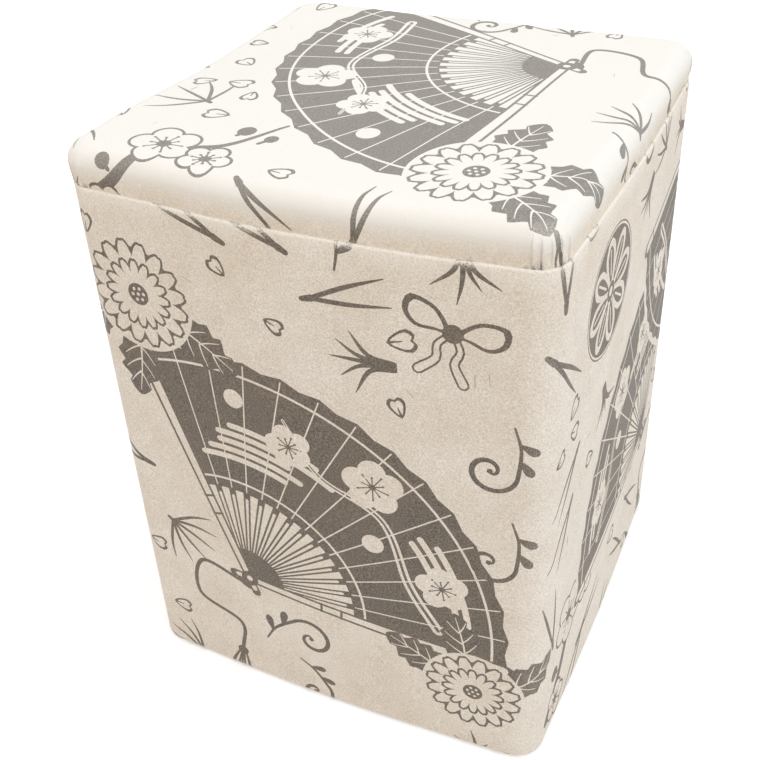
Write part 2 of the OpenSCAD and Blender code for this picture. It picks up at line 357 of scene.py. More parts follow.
def petalRing(radius, far):   # five round petals
    for k in range(5):
        c, s = spoke(90 + 72 * k)
        yield disc(radius, far * c, far * s)


def stamens(radius, line):
    out = []
    for k in range(10):
        far = radius * (0.52 if k % 2 else 0.38)
        tip = np.array(spoke(18 + 36 * k))
        out.append((brush([tip * radius * 0.12, tip * far], line * 0.62), True))
        out.append((disc(line * 0.62, *(tip * far)), True))
    out.append((disc(radius * 0.13), True))
    return out


def plumBlossom(radius, line=0.45):   # ume: its petals drawn in outline, a ring of stamens
    out = [(ring, True) for ring in petalRing(radius * 0.42 + line / 2, radius * 0.56)]
    out += [(ring, False) for ring in petalRing(radius * 0.42 - line / 2, radius * 0.56)]
    return out + stamens(radius, line)


def chrysanthemum(radius, petals=16, line=0.45):   # kiku: two rows of narrow petals round a button
    out = [(disc(radius * 1.05), False), (disc(radius * 0.86), True)]
    for reach, inner, shift in ((1.0, 0.2, 0), (0.66, 0.1, 0.5)):
        wide = 2 * math.pi * radius * reach * 0.8 / petals
        for ink, wider, shorter in ((True, line * 0.5, 0), (False, -line * 1.1, line)):
            one = petal(radius * reach - shorter, wide + wider, 0.03, radius * inner)
            for k in range(petals):
                out += place([(one, ink)], 0, 0, 360 * (k + shift) / petals)
    out.append((disc(radius * 0.2), True))
    for k in range(6):   # the button's florets
        at = radius * 0.11 * np.array((math.cos(k * 1.047), math.sin(k * 1.047)))
        out.append((disc(radius * 0.035, *at), False))
    out.append((disc(radius * 0.035), False))
    return out


def leaf(length, width, line=0.4, veins=4):   # a toothed leaf with its veins left bare
    half = width / 2
    run = []
    for k in range(1, veins + 1):
        t = k / (veins + 1)
        w = half * math.sin(math.pi * min(1, t ** 0.8))
        run += [(length * (t - 0.02), w * 0.86), (length * (t + 0.06), w * 1.06)]
    edge = [(0, 0)] + run + [(length, 0)] + [(x, -y) for x, y in run[::-1]]
    middleVein = smoothLine([(length * 0.02, 0), (length * 0.5, half * 0.08), (length * 0.93, 0)])
    out = [(smoothLine(edge, closed=True), True), (brush(middleVein, line, 1.2, 0.3), False)]
    for k in range(1, veins + 1):
        t = k / (veins + 1.4)
        w = half * math.sin(math.pi * min(1, t ** 0.8)) * 0.72
        for side in (1, -1):
            vein = smoothLine([(length * (t - 0.08), 0), (length * t, w * 0.5 * side), (length * (t + 0.11), w * side)])
            out.append((brush(vein, line * 0.8, 1, 0.4), False))
    return out


def pineNeedles(length, spread=18, width=0.55, needles=2):   # matsuba: needles from one sheath
    out = []
    for a in np.radians(np.linspace(-spread / 2, spread / 2, needles)):
        tip = np.array((length * math.cos(a), length * math.sin(a)))
        mid = tip * 0.5 + np.array((0, 0.12 * length * math.sin(a)))
        out.append((brush(smoothLine([(0, 0), mid, tip]), width, 1.1, 0.3, 0.45), True))
    out.append((brush([(-length * 0.1, 0), (length * 0.03, 0)], width * 1.7, 0.8, 1.1), True))
    return out


def tendril(size, curl=1.25, width=0.6, side=1):   # karakusa: a stem that winds into a curl, with two small leaves
    t = np.linspace(0, 1, 34)
    a = t * curl * 2 * math.pi
    r = size * 0.32 * (1 - t) ** 0.9
    coil = np.c_[size * 0.62 + r * np.sin(a), side * (size * 0.32 - r * np.cos(a))]
    stem = smoothLine([(0, 0), (size * 0.25, -side * size * 0.05), (size * 0.45, -side * size * 0.035)])
    line = np.vstack([stem, coil])
    out = [(brush(line, width, 0.55, 0.45, 0.9), True)]
    out.append((disc(width * 0.85, *line[-1]), True))
    for x, y, turn in ((size * 0.2, -size * 0.04, -52), (size * 0.42, -size * 0.03, -30)):
        out += place([(petal(size * 0.26, size * 0.11), True)], x, side * y, side * turn)
    return out


def sprig(length, blades=5, width=0.65, seed=1):   # a tuft of grass, each blade one stroke
    rng = random.Random(seed)
    out = []
    for k in range(blades):
        a = math.radians(-38 + 76 * (k + rng.uniform(-0.2, 0.2)) / max(1, blades - 1))
        far = length * rng.uniform(0.72, 1.0)
        tip = np.array((far * math.sin(a), far * math.cos(a)))
        mid = np.array((tip[0] * 0.25, tip[1] * 0.6))
        out.append((brush(smoothLine([(k * 0.3 - blades * 0.15, 0), mid, tip]), width, 0.8, 0.2, 0.6), True))
    return out


def loosePetal(size, line=0.45):
    return [(petal(size, size * 0.8, 0.14), True),
            (petal(size - line * 2.2, size * 0.8 - line * 2.2, 0.14) + (line, 0), False),
            (brush([(size * 0.12, 0), (size * 0.5, 0)], line * 0.8, 1, 0.5), True)]


def along(way, low, high, *stroke):   # one pull of the brush along a spoke
    return brush([(low * way[0], low * way[1]), (high * way[0], high * way[1])], *stroke)


def foldingFan(reach, seed, spread=112, folds=14, line=0.45):   # sensu, opened towards +Y, pivot at the origin
    rng = random.Random(seed)
    half, inner = spread / 2, reach * 0.43
    spokes = [spoke(90 - half + spread * k / folds) for k in range(folds + 1)]
    out = [(np.vstack([arc(reach + 1, 88 - half, 92 + half), [(-5, -3), (5, -3)]]), False)]   # a bare margin
    out += [(along(way, -2.4, inner * 1.02, reach * 0.019, 0.75, 1.5), True) for way in spokes]   # sticks
    out += [(along(way, inner * 0.35, inner * 0.93, reach * 0.011, 0.5, 1.1), False) for way in spokes]
    outer = []
    for k in range(2 * folds + 1):   # leaf, its edge stepped by the folds
        c, s = spoke(90 - half + spread * k / (2 * folds))
        far = reach - 0.7 * (k % 2)
        outer.append((c * far, s * far))
    dense = []
    for p, q in zip(outer, outer[1:]):
        dense += [p, ((p[0] + q[0]) / 2, (p[1] + q[1]) / 2)]
    dense.append(outer[-1])
    out.append((np.vstack([dense, arc(inner, 90 + half, 90 - half)]), True))
    out.append((brush(arc(reach * 0.94, 91 - half, 89 + half), line), False))
    out.append((brush(arc(inner * 1.1, 92 - half, 88 + half), line), False))
    # bands of mist, a bough and blossoms left bare on the leaf
    for k in range(5):
        start = 90 + half - 6 - rng.uniform(0, 5) - k * 3
        band = arc(reach * (0.58 + 0.035 * k), start, start - spread * rng.uniform(0.2, 0.36))
        out.append((brush(band, reach * 0.026, 0.9, 0.9), False))
    for k in range(3):
        start = 90 - half + 6 + rng.uniform(0, 4) + k * 4
        band = arc(reach * (0.86 - 0.038 * k), start, start + spread * rng.uniform(0.16, 0.26))
        out.append((brush(band, reach * 0.026, 0.9, 0.9), False))
    bough = smoothLine([(reach * 0.74 * spoke(90 - half * f)[0], reach * g * spoke(90 - half * f)[1])
                        for f, g in ((0.9, 0.76), (0.55, 0.66), (0.2, 0.74), (-0.15, 0.7), (-0.45, 0.86))])
    out.append((brush(bough, reach * 0.032, 1.3, 0.35), False))
    out.append((brush(bough, reach * 0.010, 1.3, 0.3), True))
    for f, g, size, isOpen in ((0.62, 0.8, 0.092, True), (0.3, 0.64, 0.08, False), (0.05, 0.82, 0.105, True),
                               (-0.34, 0.74, 0.085, True), (-0.62, 0.84, 0.075, False)):
        c, s = spoke(90 - half * f)
        flower = [(disc(reach * size * 0.5), False)]   # a bud
        if isOpen:
            flower = [(disc(reach * size * 0.98 * 0.56), False)]
            flower += [(ring, False) for ring in petalRing(reach * size * 0.47, reach * size * 0.58)]
            flower += stamens(reach * size, line * 0.8)
        out += place(flower, reach * g * c, reach * g * s, rng.uniform(0, 72))
    # every fold catches as a bare line
    out += [(along(way, inner * 1.02, reach * 0.985, line * 0.55), False) for way in spokes[1:-1]]
    for side in (1, -1):   # guard sticks
        c, s = spoke(90 + side * (half + 0.6))
        out.append((along((c, s), -3.2, reach, reach * 0.05, 0.75, 1.15), True))
        out.append((along((c, s), -2.4, reach * 0.985, reach * 0.05 - line * 2, 0.65, 1.2), False))
        for f in (0.3, 0.38, 0.9):
            out.append((brush([(reach * f * c - reach * 0.02 * s, reach * f * s + reach * 0.02 * c),
                               (reach * f * c + reach * 0.02 * s, reach * f * s - reach * 0.02 * c)], line), True))
    out += [(disc(reach * 0.036), True), (disc(reach * 0.014), False)]
    return out


def cordAndTassel(points, line=0.8):   # a silk cord that ends in a tassel, both drawn in outline
    path = smoothLine(points)
    out = [(brush(path, line), True)]
    d = path[-1] - path[-4]
    turn = math.degrees(math.atan2(d[1], d[0]))
    tassel = [(petal(9, 4.6), True), (petal(9, 4.6) * (0.9, 0.7) + (0.7, 0), False), (disc(1.15, 0.6, 0), True)]
    for k in (-1, 0, 1):
        tassel.append((brush([(1.5, 0.25 * k), (8.4, 1.05 * k)], line * 0.55), True))
    return out + place(tassel, *path[-1], turn)


def bow(size, line=0.5):   # musubi: a tied cord with two loops and two tails
    out = []
    for side in (1, -1):
        for scale, ink in ((1.0, True), (0.74, False)):
            loop = np.array([(0.04, 0), (0.4, 0.42), (0.92, 0.5), (1.0, 0.16), (0.72, -0.1), (0.3, -0.05)]) * size * 0.5
            c = loop.mean(0)
            out.append((smoothLine((c + (loop - c) * scale) * (side, 1), closed=True), ink))
        tail = smoothLine(np.array([(0.02, 0), (0.22, -0.32), (0.18, -0.62), (0.44, -0.98)]) * size * (0.5 * side, 0.5))
        out.append((brush(tail, size * 0.1, 0.7, 1.2), True))
        out.append((brush(tail, size * 0.1 - line, 0.4, 1.2), False))
    out.append((disc(size * 0.1), True))
    return out


def temari(radius, line=0.5):   # a thread ball: dark, with a bare star of stitched bands
    out = [(disc(radius), True)]
    for k in range(8):
        a = 45 * k + 12
        shape = petal(radius * 0.9, radius * 0.42, 0.0, radius * 0.05)
        out += place([(shape, False), (shape * (0.74, 0.55) + (radius * 0.12, 0), True),
                      (brush([(radius * 0.3, 0), (radius * 0.72, 0)], line * 0.8), False)], 0, 0, a)
    out.append((brush(arc(radius * 0.96, 0, 359), line * 0.7), False))
    out += [(disc(radius * 0.16), True), (disc(radius * 0.08), False)]
    return out


# setting the motifs out on the two sheets

def windings(points, outline):   # how often an outline runs round each point
    a = outline
    b = np.roll(outline, -1, axis=0)
    px, py = points[:, :1], points[:, 1:]
    side = (b[:, 0] - a[:, 0]) * (py - a[:, 1]) - (px - a[:, 0]) * (b[:, 1] - a[:, 1])
    up = (a[:, 1] <= py) & (b[:, 1] > py) & (side > 0)
    down = (a[:, 1] > py) & (b[:, 1] <= py) & (side < 0)
    return up.sum(1) - down.sum(1)


smallMarks = {   # size and clear radius round it in mm, how often it is drawn, and its outlines about its own middle
    "needles": (11.5, 5.0, 5, lambda size, rng: place(pineNeedles(size, rng.uniform(13, 24), 0.62), -size / 2, 0)),
    "tuft": (8.5, 4.8, 3, lambda size, rng: place(
        pineNeedles(size, rng.uniform(95, 125), 0.5, rng.choice((5, 6, 7))), -size * 0.35, 0)),
    "petal": (4.2, 2.6, 2.6, lambda size, rng: place(loosePetal(size), -size / 2, 0)),
    "tendril": (13, 5.4, 2.6, lambda size, rng: place(
        tendril(size, rng.uniform(1.1, 1.4), 0.62, rng.choice((1, -1))), -size / 2, 0)),
    "sprig": (9, 4.8, 1.8,
              lambda size, rng: place(sprig(size, rng.choice((3, 4, 5)), 0.66, rng.random()), 0, -size / 2)),
}
scatterTries = 9000   # far more than are needed, because most land on something


def scatterSmall(layers, low, high, count, seed):   # small marks in the space that is left, on a map of 1 mm cells
    rng = random.Random(seed)
    shares = [share for _, _, share, _ in smallMarks.values()]
    wide, tall = int(high[0] - low[0]), int(high[1] - low[1])
    busy = np.zeros((wide, tall), bool)
    cells = np.stack(np.meshgrid(np.arange(wide) + 0.5, np.arange(tall) + 0.5, indexing="ij"), -1) + low
    for outline, ink in layers:
        lo = np.maximum(np.floor(outline.min(0) - low).astype(int) - 1, 0)
        hi = np.minimum(np.ceil(outline.max(0) - low).astype(int) + 1, (wide, tall))
        if ink and (hi > lo).all():
            block = cells[lo[0]:hi[0], lo[1]:hi[1]]
            near = np.hypot(*(block.reshape(-1, 1, 2) - outline[None, ::2]).transpose(2, 0, 1)).min(1) < 0.8
            taken = near | (windings(block.reshape(-1, 2), outline) != 0)
            busy[lo[0]:hi[0], lo[1]:hi[1]] |= taken.reshape(block.shape[:2])
    out = []
    for _ in range(scatterTries):
        size, reach, _, draw = rng.choices(tuple(smallMarks.values()), shares)[0]
        x, y, size = rng.uniform(low[0], high[0]), rng.uniform(low[1], high[1]), size * rng.uniform(0.85, 1.15)
        turn, i, j, r = rng.uniform(0, 360), int(x - low[0]), int(y - low[1]), int(reach + 1)
        block = busy[max(0, i - r):i + r + 1, max(0, j - r):j + r + 1]
        centres = cells[max(0, i - r):i + r + 1, max(0, j - r):j + r + 1]
        if block[np.hypot(centres[..., 0] - x, centres[..., 1] - y) < reach].any():
            continue
        out += place(draw(size, rng), x, y, turn)
        block |= np.hypot(centres[..., 0] - x, centres[..., 1] - y) < reach * 0.92
        count -= 1
        if not count:
            break
    return out


def fanGroup(x, y, turn, reach, seed, flip=False, cord=((0, -2), (-8, -6), (-4, -14), (5, -12), (9, -18))):
    return place(foldingFan(reach, seed) + cordAndTassel(cord), x, y, turn, flip)


def flowerGroup(x, y, turn, radius, flip=False):   # one chrysanthemum with its leaves behind it
    part = []
    for angle, far in ((200, 0.55), (250, 0.6), (320, 0.55)):
        c, s = spoke(angle)
        part += place(leaf(radius * 1.5, radius * 0.85), radius * far * c, radius * far * s, angle)
    part += chrysanthemum(radius)
    return place(part, x, y, turn, flip)


def plumGroup(x, y, turn, radius, flip=False):   # a bough of plum with open flowers and buds
    bough = smoothLine([(-radius * 2.6, -radius * 1.5), (-radius * 1.2, -radius * 0.9), (radius * 0.2, radius * 0.1),
                        (radius * 1.6, radius * 0.5), (radius * 2.9, radius * 1.7)])
    part = [(brush(bough, radius * 0.3, 1.3, 0.35), True)]
    for px, py, r in ((-1.5, -0.45, 0.24), (1.9, 1.35, 0.26), (2.7, 0.9, 0.2)):
        part += [(brush([(px * radius * 0.9, (py - 0.25) * radius), (px * radius, py * radius)], 0.7), True),
                 (disc(radius * r, px * radius, py * radius), True)]
    for px, py, r, a in ((0.0, 0.35, 1.0, 10), (1.35, -0.35, 0.75, 40), (-1.9, -1.65, 0.66, 25)):
        part += place(plumBlossom(radius * r), px * radius, py * radius, a)
    return place(part, x, y, turn, flip)


def bodyPrint():   # s runs round the body from the middle of the front to the right, heights are from the foot
    layers = fanGroup(-14, 25, -38, 47, 3)
    layers += flowerGroup(-27, 79, 10, 9.5) + flowerGroup(27, 14, 170, 8.5, True)
    layers += place(bow(15), 24, 84, -14)
    layers += place(temari(10.5), 60, 80, 0) + plumGroup(52, 20, 28, 6.2)
    layers += fanGroup(99, 26, 40, 44, 8, True)
    layers += fanGroup(128, 84, 158, 46, 5) + flowerGroup(144, 18, 60, 9.5)
    layers += flowerGroup(-132, 80, -20, 10) + plumGroup(-140, 40, -30, 6.5)
    layers += fanGroup(-98, 34, 12, 45, 6) + place(temari(10), -64, 14, 20) + flowerGroup(-58, 82, 200, 9)
    layers += place(bow(15), -52, 46, 30)
    low, high = (-149, -3), (156, 106)
    return layers + scatterSmall(layers, low, high, 118, 4)


def lidPrint():   # plan, x to the right and y to the back, carried on down the lid's sides
    layers = fanGroup(21, 17, 118, 47, 9, cord=((0, -2), (7, -6), (2, -12), (-6, -11), (-9, -17)))
    layers += flowerGroup(22, -25, 120, 9) + plumGroup(-22, -33, 15, 5.5)
    return layers + scatterSmall(layers, (-43, -43), (43, 43), 30, 7)


# cut, printed and wrapped paper

shape = {   # mm, as the model is built
    "halfWidth": 38.0,
    "corner": 5.0,          # radius of the upright corners over the paper
    "paper": 0.25,
    "rim": 95.0,            # height of the body's rim
    "rimFold": 0.4,         # radius of the paper's fold over the rim
    "tuck": 10.0,
    "footRadius": 1.0,
    "turnUnder": 2.0,       # what lies flat under the foot
    "overlap": 6.0,         # where the sheet's two ends meet at the back
    "lidInset": 0.4,
    "lidFoot": 95.02,       # the paper settles on the rim
    "lidTop": 101.0,
    "shoulder": 3.0,
    "lidTurn": 0.85,        # paper turned in under the lid's edge
    "lapRise": 0.28,        # what lies over another layer stands up by a thickness and a little air
    "lapSlope": 1.6,        # and takes this far to do so
    "pleat": 0.26,          # the step where the lid's paper is gathered at a corner
    "longest": 3.5,         # a longer straight is divided, so that both faces of the paper follow every swell
    "bodyGrid": (2.2, 3.0), "lidGrid": 2.4,   # extra points between the outlines
}
centre = shape["halfWidth"] - shape["corner"]   # the corners bend round (±centre, ±centre)
arcLength = math.pi / 2 * shape["corner"]
quarter = 2 * centre + arcLength
lidLevel = shape["corner"] - shape["lidInset"] - shape["shoulder"]   # the flat of the lid ends this far past centre
shoulderEnd = lidLevel + shape["shoulder"] * math.pi / 2              # on the flat sheet
lidEdge = shoulderEnd + (shape["lidTop"] - shape["shoulder"] - shape["lidFoot"])

crown = {   # how far each long side swells past flat, mm: at the foot, at the rim
    "front": (1.1, 1.8),
    "right": (0.6, 0.7),
    "back": (0.6, 0.3),
    "left": (0.5, 0.0),
}
swellTop = 77             # the height by which a side has its full swell
swellPower = 1.4          # how soon it dies away towards the corners


def smoothstep(x, low, high):
    t = np.clip((x - low) / (high - low), 0, 1)
    return t * t * (3 - 2 * t)


seat = {   # how the lid sits on this caddy, mm
    "lean": 0.14,            # its sides lean in towards the foot
    "left": (0.65, 0.1),     # it stands this far out to the left: at the front, at the back
    "backRight": 0.3,        # and to the right at the back
    "sag": 0.6,              # its left edge has sunk between the corners
    "backLeft": 0.4,         # and stands up at the back left corner
    "lift": 0.36,            # its foot stands off the rim at the front right corner
    "wave": 0.14,            # the rim was folded over by hand
    "skinFoot": 95.03,       # above this height, what is outside the collar belongs to the lid
    "collar": 3.65, "skin": 4.5,   # out from the corner centres: where the collar ends and the skin starts
    "loose": 3.7, "roof": 99,      # what shifts with the lid: further out than this, or higher
}


def formed(points):   # gives flat-sided sheet the shape of the real caddy; the rim, collar and lid move together
    p = np.array(points, float)
    x, y, z = p.T.copy()
    rise = smoothstep(z, 0, swellTop)
    for side, axis, sign in (("front", 1, -1), ("right", 0, 1), ("back", 1, 1), ("left", 0, -1)):
        out, along = (y, x) if axis else (x, y)
        foot, rim = crown[side]
        swell = (foot + (rim - foot) * rise) * np.clip(1 - (along / centre) ** 2, 0, 1) ** swellPower
        p[:, axis] += sign * swell * smoothstep(out * sign, 12, centre)
    # the lid's skin: its paper and shell, outside the collar
    away = np.c_[x, y] - np.clip(np.c_[x, y], -centre, centre)
    t = np.hypot(away[:, 0], away[:, 1])
    skin = (z > seat["skinFoot"]) * smoothstep(t, seat["collar"], seat["skin"])
    way = away / np.maximum(t, 1e-9)[:, None]
    p[:, :2] -= way * (seat["lean"] * skin * (1 - smoothstep(z, 95.1, 98.2)))[:, None]
    loose = (z > seat["skinFoot"]) & ((t > seat["loose"]) | (z > seat["roof"]))
    front = 0.5 - 0.5 * y / shape["halfWidth"]
    leftOut = seat["left"][1] + (seat["left"][0] - seat["left"][1]) * front
    p[:, 0] -= loose * leftOut * smoothstep(-x, 8, 37)
    p[:, 0] += loose * seat["backRight"] * smoothstep(x, 8, 37) * smoothstep(y, 4, 34)
    sunk = np.exp(-((y - 3) / 17) ** 2) * smoothstep(-x, 18, 36) * smoothstep(z, 96, 99.5)
    raised = smoothstep(-x, 14, 36) * smoothstep(y, 14, 36) * smoothstep(z, 96, 99.5)
    stands = skin * smoothstep(way[:, 0], 0.45, 0.95) * smoothstep(-y, 2, 24) * (1 - smoothstep(z, 95.1, 97.6))
    wave = (0.5 + 0.5 * np.sin(0.23 * x + 0.19 * y + 1.1)) * smoothstep(z, 88, 94.5)
    p[:, 2] += seat["backLeft"] * raised - seat["sag"] * sunk + seat["lift"] * stands + seat["wave"] * wave
    return p


def bodyPlace(flat, depth=0.0):   # from the flat sheet (s, h) to its place on the body; depth is into the paper
    s, h = flat[:, 0], flat[:, 1]
    fold, foot = shape["rimFold"], shape["footRadius"]
    wallTop = shape["rim"] - fold
    turn = np.floor((s + centre) / quarter)
    r = s + centre - turn * quarter
    bend = np.clip((r - 2 * centre) / shape["corner"], 0, math.pi / 2)
    along = np.where(r < 2 * centre, r - centre, centre)
    # profile: under the foot, foot arc, wall, fold over the rim, tuck
    footEnd, foldEnd = foot - foot * math.pi / 2, wallTop + fold * math.pi
    a = np.clip((foot - h) / foot, 0, math.pi / 2)
    b = np.clip((h - wallTop) / fold, 0, math.pi)
    out = shape["corner"] - foot + (foot - depth) * np.cos(a) - np.maximum(footEnd - h, 0)
    up = np.where(h < foot, foot - (foot - depth) * np.sin(a), h)
    over = h > wallTop
    out = np.where(over, shape["corner"] - fold + (fold - depth) * np.cos(b), out)
    up = np.where(over, wallTop + (fold - depth) * np.sin(b) - np.maximum(h - foldEnd, 0), up)
    # the sheet's end lies over its beginning at the back
    meet = 2 * quarter - shape["overlap"]
    out = out + shape["lapRise"] * smoothstep(s, 2 * quarter - shape["lapSlope"], 2 * quarter)
    up = up + shape["lapRise"] * smoothstep(-s, meet - shape["lapSlope"], meet) * smoothstep(footEnd - h, 0, 0.5)
    x, y = along + out * np.sin(bend), -centre - out * np.cos(bend)
    c, d = np.cos(turn * math.pi / 2), np.sin(turn * math.pi / 2)
    return formed(np.c_[x * c - y * d, x * d + y * c, up])


pleats = (12, 27, 43, 60, 78)   # degrees round each corner of the lid where the paper laps over itself


def lidPlace(flat, depth=0.0):   # from the plan of the flat sheet to its place on the lid
    near = np.clip(flat, -centre, centre)
    away = flat - near
    t = np.hypot(away[:, 0], away[:, 1])
    way = away / np.maximum(t, 1e-9)[:, None]
    arcR = shape["shoulder"]
    wall = shape["lidTop"] - arcR
    a = np.clip((t - lidLevel) / arcR, 0, math.pi / 2)
    down = np.clip(t - shoulderEnd, 0, wall - shape["lidFoot"])
    under = np.maximum(t - lidEdge, 0)
    out = np.minimum(t, lidLevel) + (arcR - depth) * np.sin(a) - under
    up = wall + (arcR - depth) * np.cos(a) - down + np.where(under > 0, depth, 0)
    # at the corners the spare paper is gathered in flat pleats, each a step of one thickness
    angle = np.degrees(np.arctan2(np.abs(way[:, 1]), np.abs(way[:, 0])))
    flip = way[:, 0] * way[:, 1] < 0
    angle = np.where(flip, 90 - angle, angle)
    corner = (np.abs(away) > 1e-6).all(1)
    lap = np.zeros(len(flat))
    for k, at in enumerate(pleats):
        lap += (angle > at) * smoothstep(angle, at + 13, at) * (0.8 + 0.2 * math.sin(k * 2.2))
    out = out + corner * lap * shape["pleat"] * smoothstep(t, lidLevel + 2.5, shoulderEnd) * (under == 0)
    return formed(np.c_[near + way * out[:, None], up])


wear = {   # painted pale, for wear and, along the rim's fold, a painted highlight: how strongly, and to how many mm from the middle of the mark; painted shade: how strongly
    # painted highlight: the rim's fold is drawn strongly pale where it catches the light, on top of its wear
    "rim": (1.8, 0.5),
    "bend": (0.2, 0.3 * arcLength),
    "foot": (0.35, 0.7),
    "shoulder": (0.1, 1.3), "lidCorners": 0.45,   # the lid's corners are rubbed more than its sides
    "lidEdge": (0.5, 0.3),
    "bodyPaintedShade": 0.25, "bodyPaintedShadeHeights": (78, 94),   # painted shade on the body's walls, how strongly, and from this height to this
    # painted shade down the lid's sides, how strongly
    "lidPaintedShade": 0.6,
}


def wearAndHighlight(offset, width):
    return np.exp(-(offset / width) ** 2)


def bodyWearAndPaintedLight(flat):   # how far the paper is painted pale, for wear and the rim's painted highlight, and how far it is darkened with painted shade
    s, h = flat[:, 0], flat[:, 1]
    r = (s + centre) % quarter - 2 * centre
    # the rim's fold: wear and a painted highlight
    fold = wear["rim"][0] * wearAndHighlight(h - shape["rim"] + 0.1, wear["rim"][1])
    bend = wear["bend"][0] * (wearAndHighlight(r - arcLength / 2, wear["bend"][1]) * (r > 0))
    foot = wear["foot"][0] * wearAndHighlight(h - 0.3, wear["foot"][1])
    # painted shade, darker towards the top of the walls
    paintedShade = wear["bodyPaintedShade"] * smoothstep(h, *wear["bodyPaintedShadeHeights"]) * (h < shape["rim"])
    return np.maximum(fold, np.maximum(bend, foot)), paintedShade


def lidWearAndPaintedLight(flat):
    away = np.maximum(np.abs(flat) - centre, 0)
    t = np.hypot(away[:, 0], away[:, 1])
    most, width = wear["shoulder"]
    share = most + wear["lidCorners"] * (away > 0.6).all(1)
    shoulder = wearAndHighlight(t - lidLevel - shape["shoulder"] * 0.9, width) * share
    most, width = wear["lidEdge"]
    # painted shade from the shoulder down to the lid's foot
    paintedShade = wear["lidPaintedShade"] * smoothstep(t, lidLevel + 3.4, lidEdge - 0.2)
    return np.maximum(shoulder, most * wearAndHighlight(t - lidEdge, width)), paintedShade


def chain(points, edges, path, closed=False):   # adds a path's points, joined one to the next
    first = len(points)
    points.extend(map(tuple, path))
    edges.extend((first + k, first + k + 1) for k in range(len(path) - 1))
    if closed:
        edges.append((first + len(path) - 1, first))


def triangulate(points, edges, border, traced=False):   # Blender's own constrained Delaunay, in mm, and what is inside
    made = delaunay_2d_cdt([Vector(p) for p in points], edges, [], 0, 1e-5, traced)
    flat, faces = np.array([v[:] for v in made[0]]), np.array([list(f) for f in made[2]], dtype=np.int64)
    return flat, faces[windings(flat[faces].mean(1), border) != 0], made[3]


def inUse(faces, count, first=0):   # the points that the faces use, and the number that each point then has
    used = np.unique(faces)
    number = np.full(count, -1)
    number[used] = np.arange(len(used)) + first
    return used, number


def divided(path, most=shape["longest"]):
    out = [path[0]]
    for p, q in zip(path, path[1:]):
        steps = max(1, math.ceil(math.hypot(*(q - p)) / most))
        out += [p + (q - p) * k / steps for k in range(1, steps + 1)]
    return np.array(out)


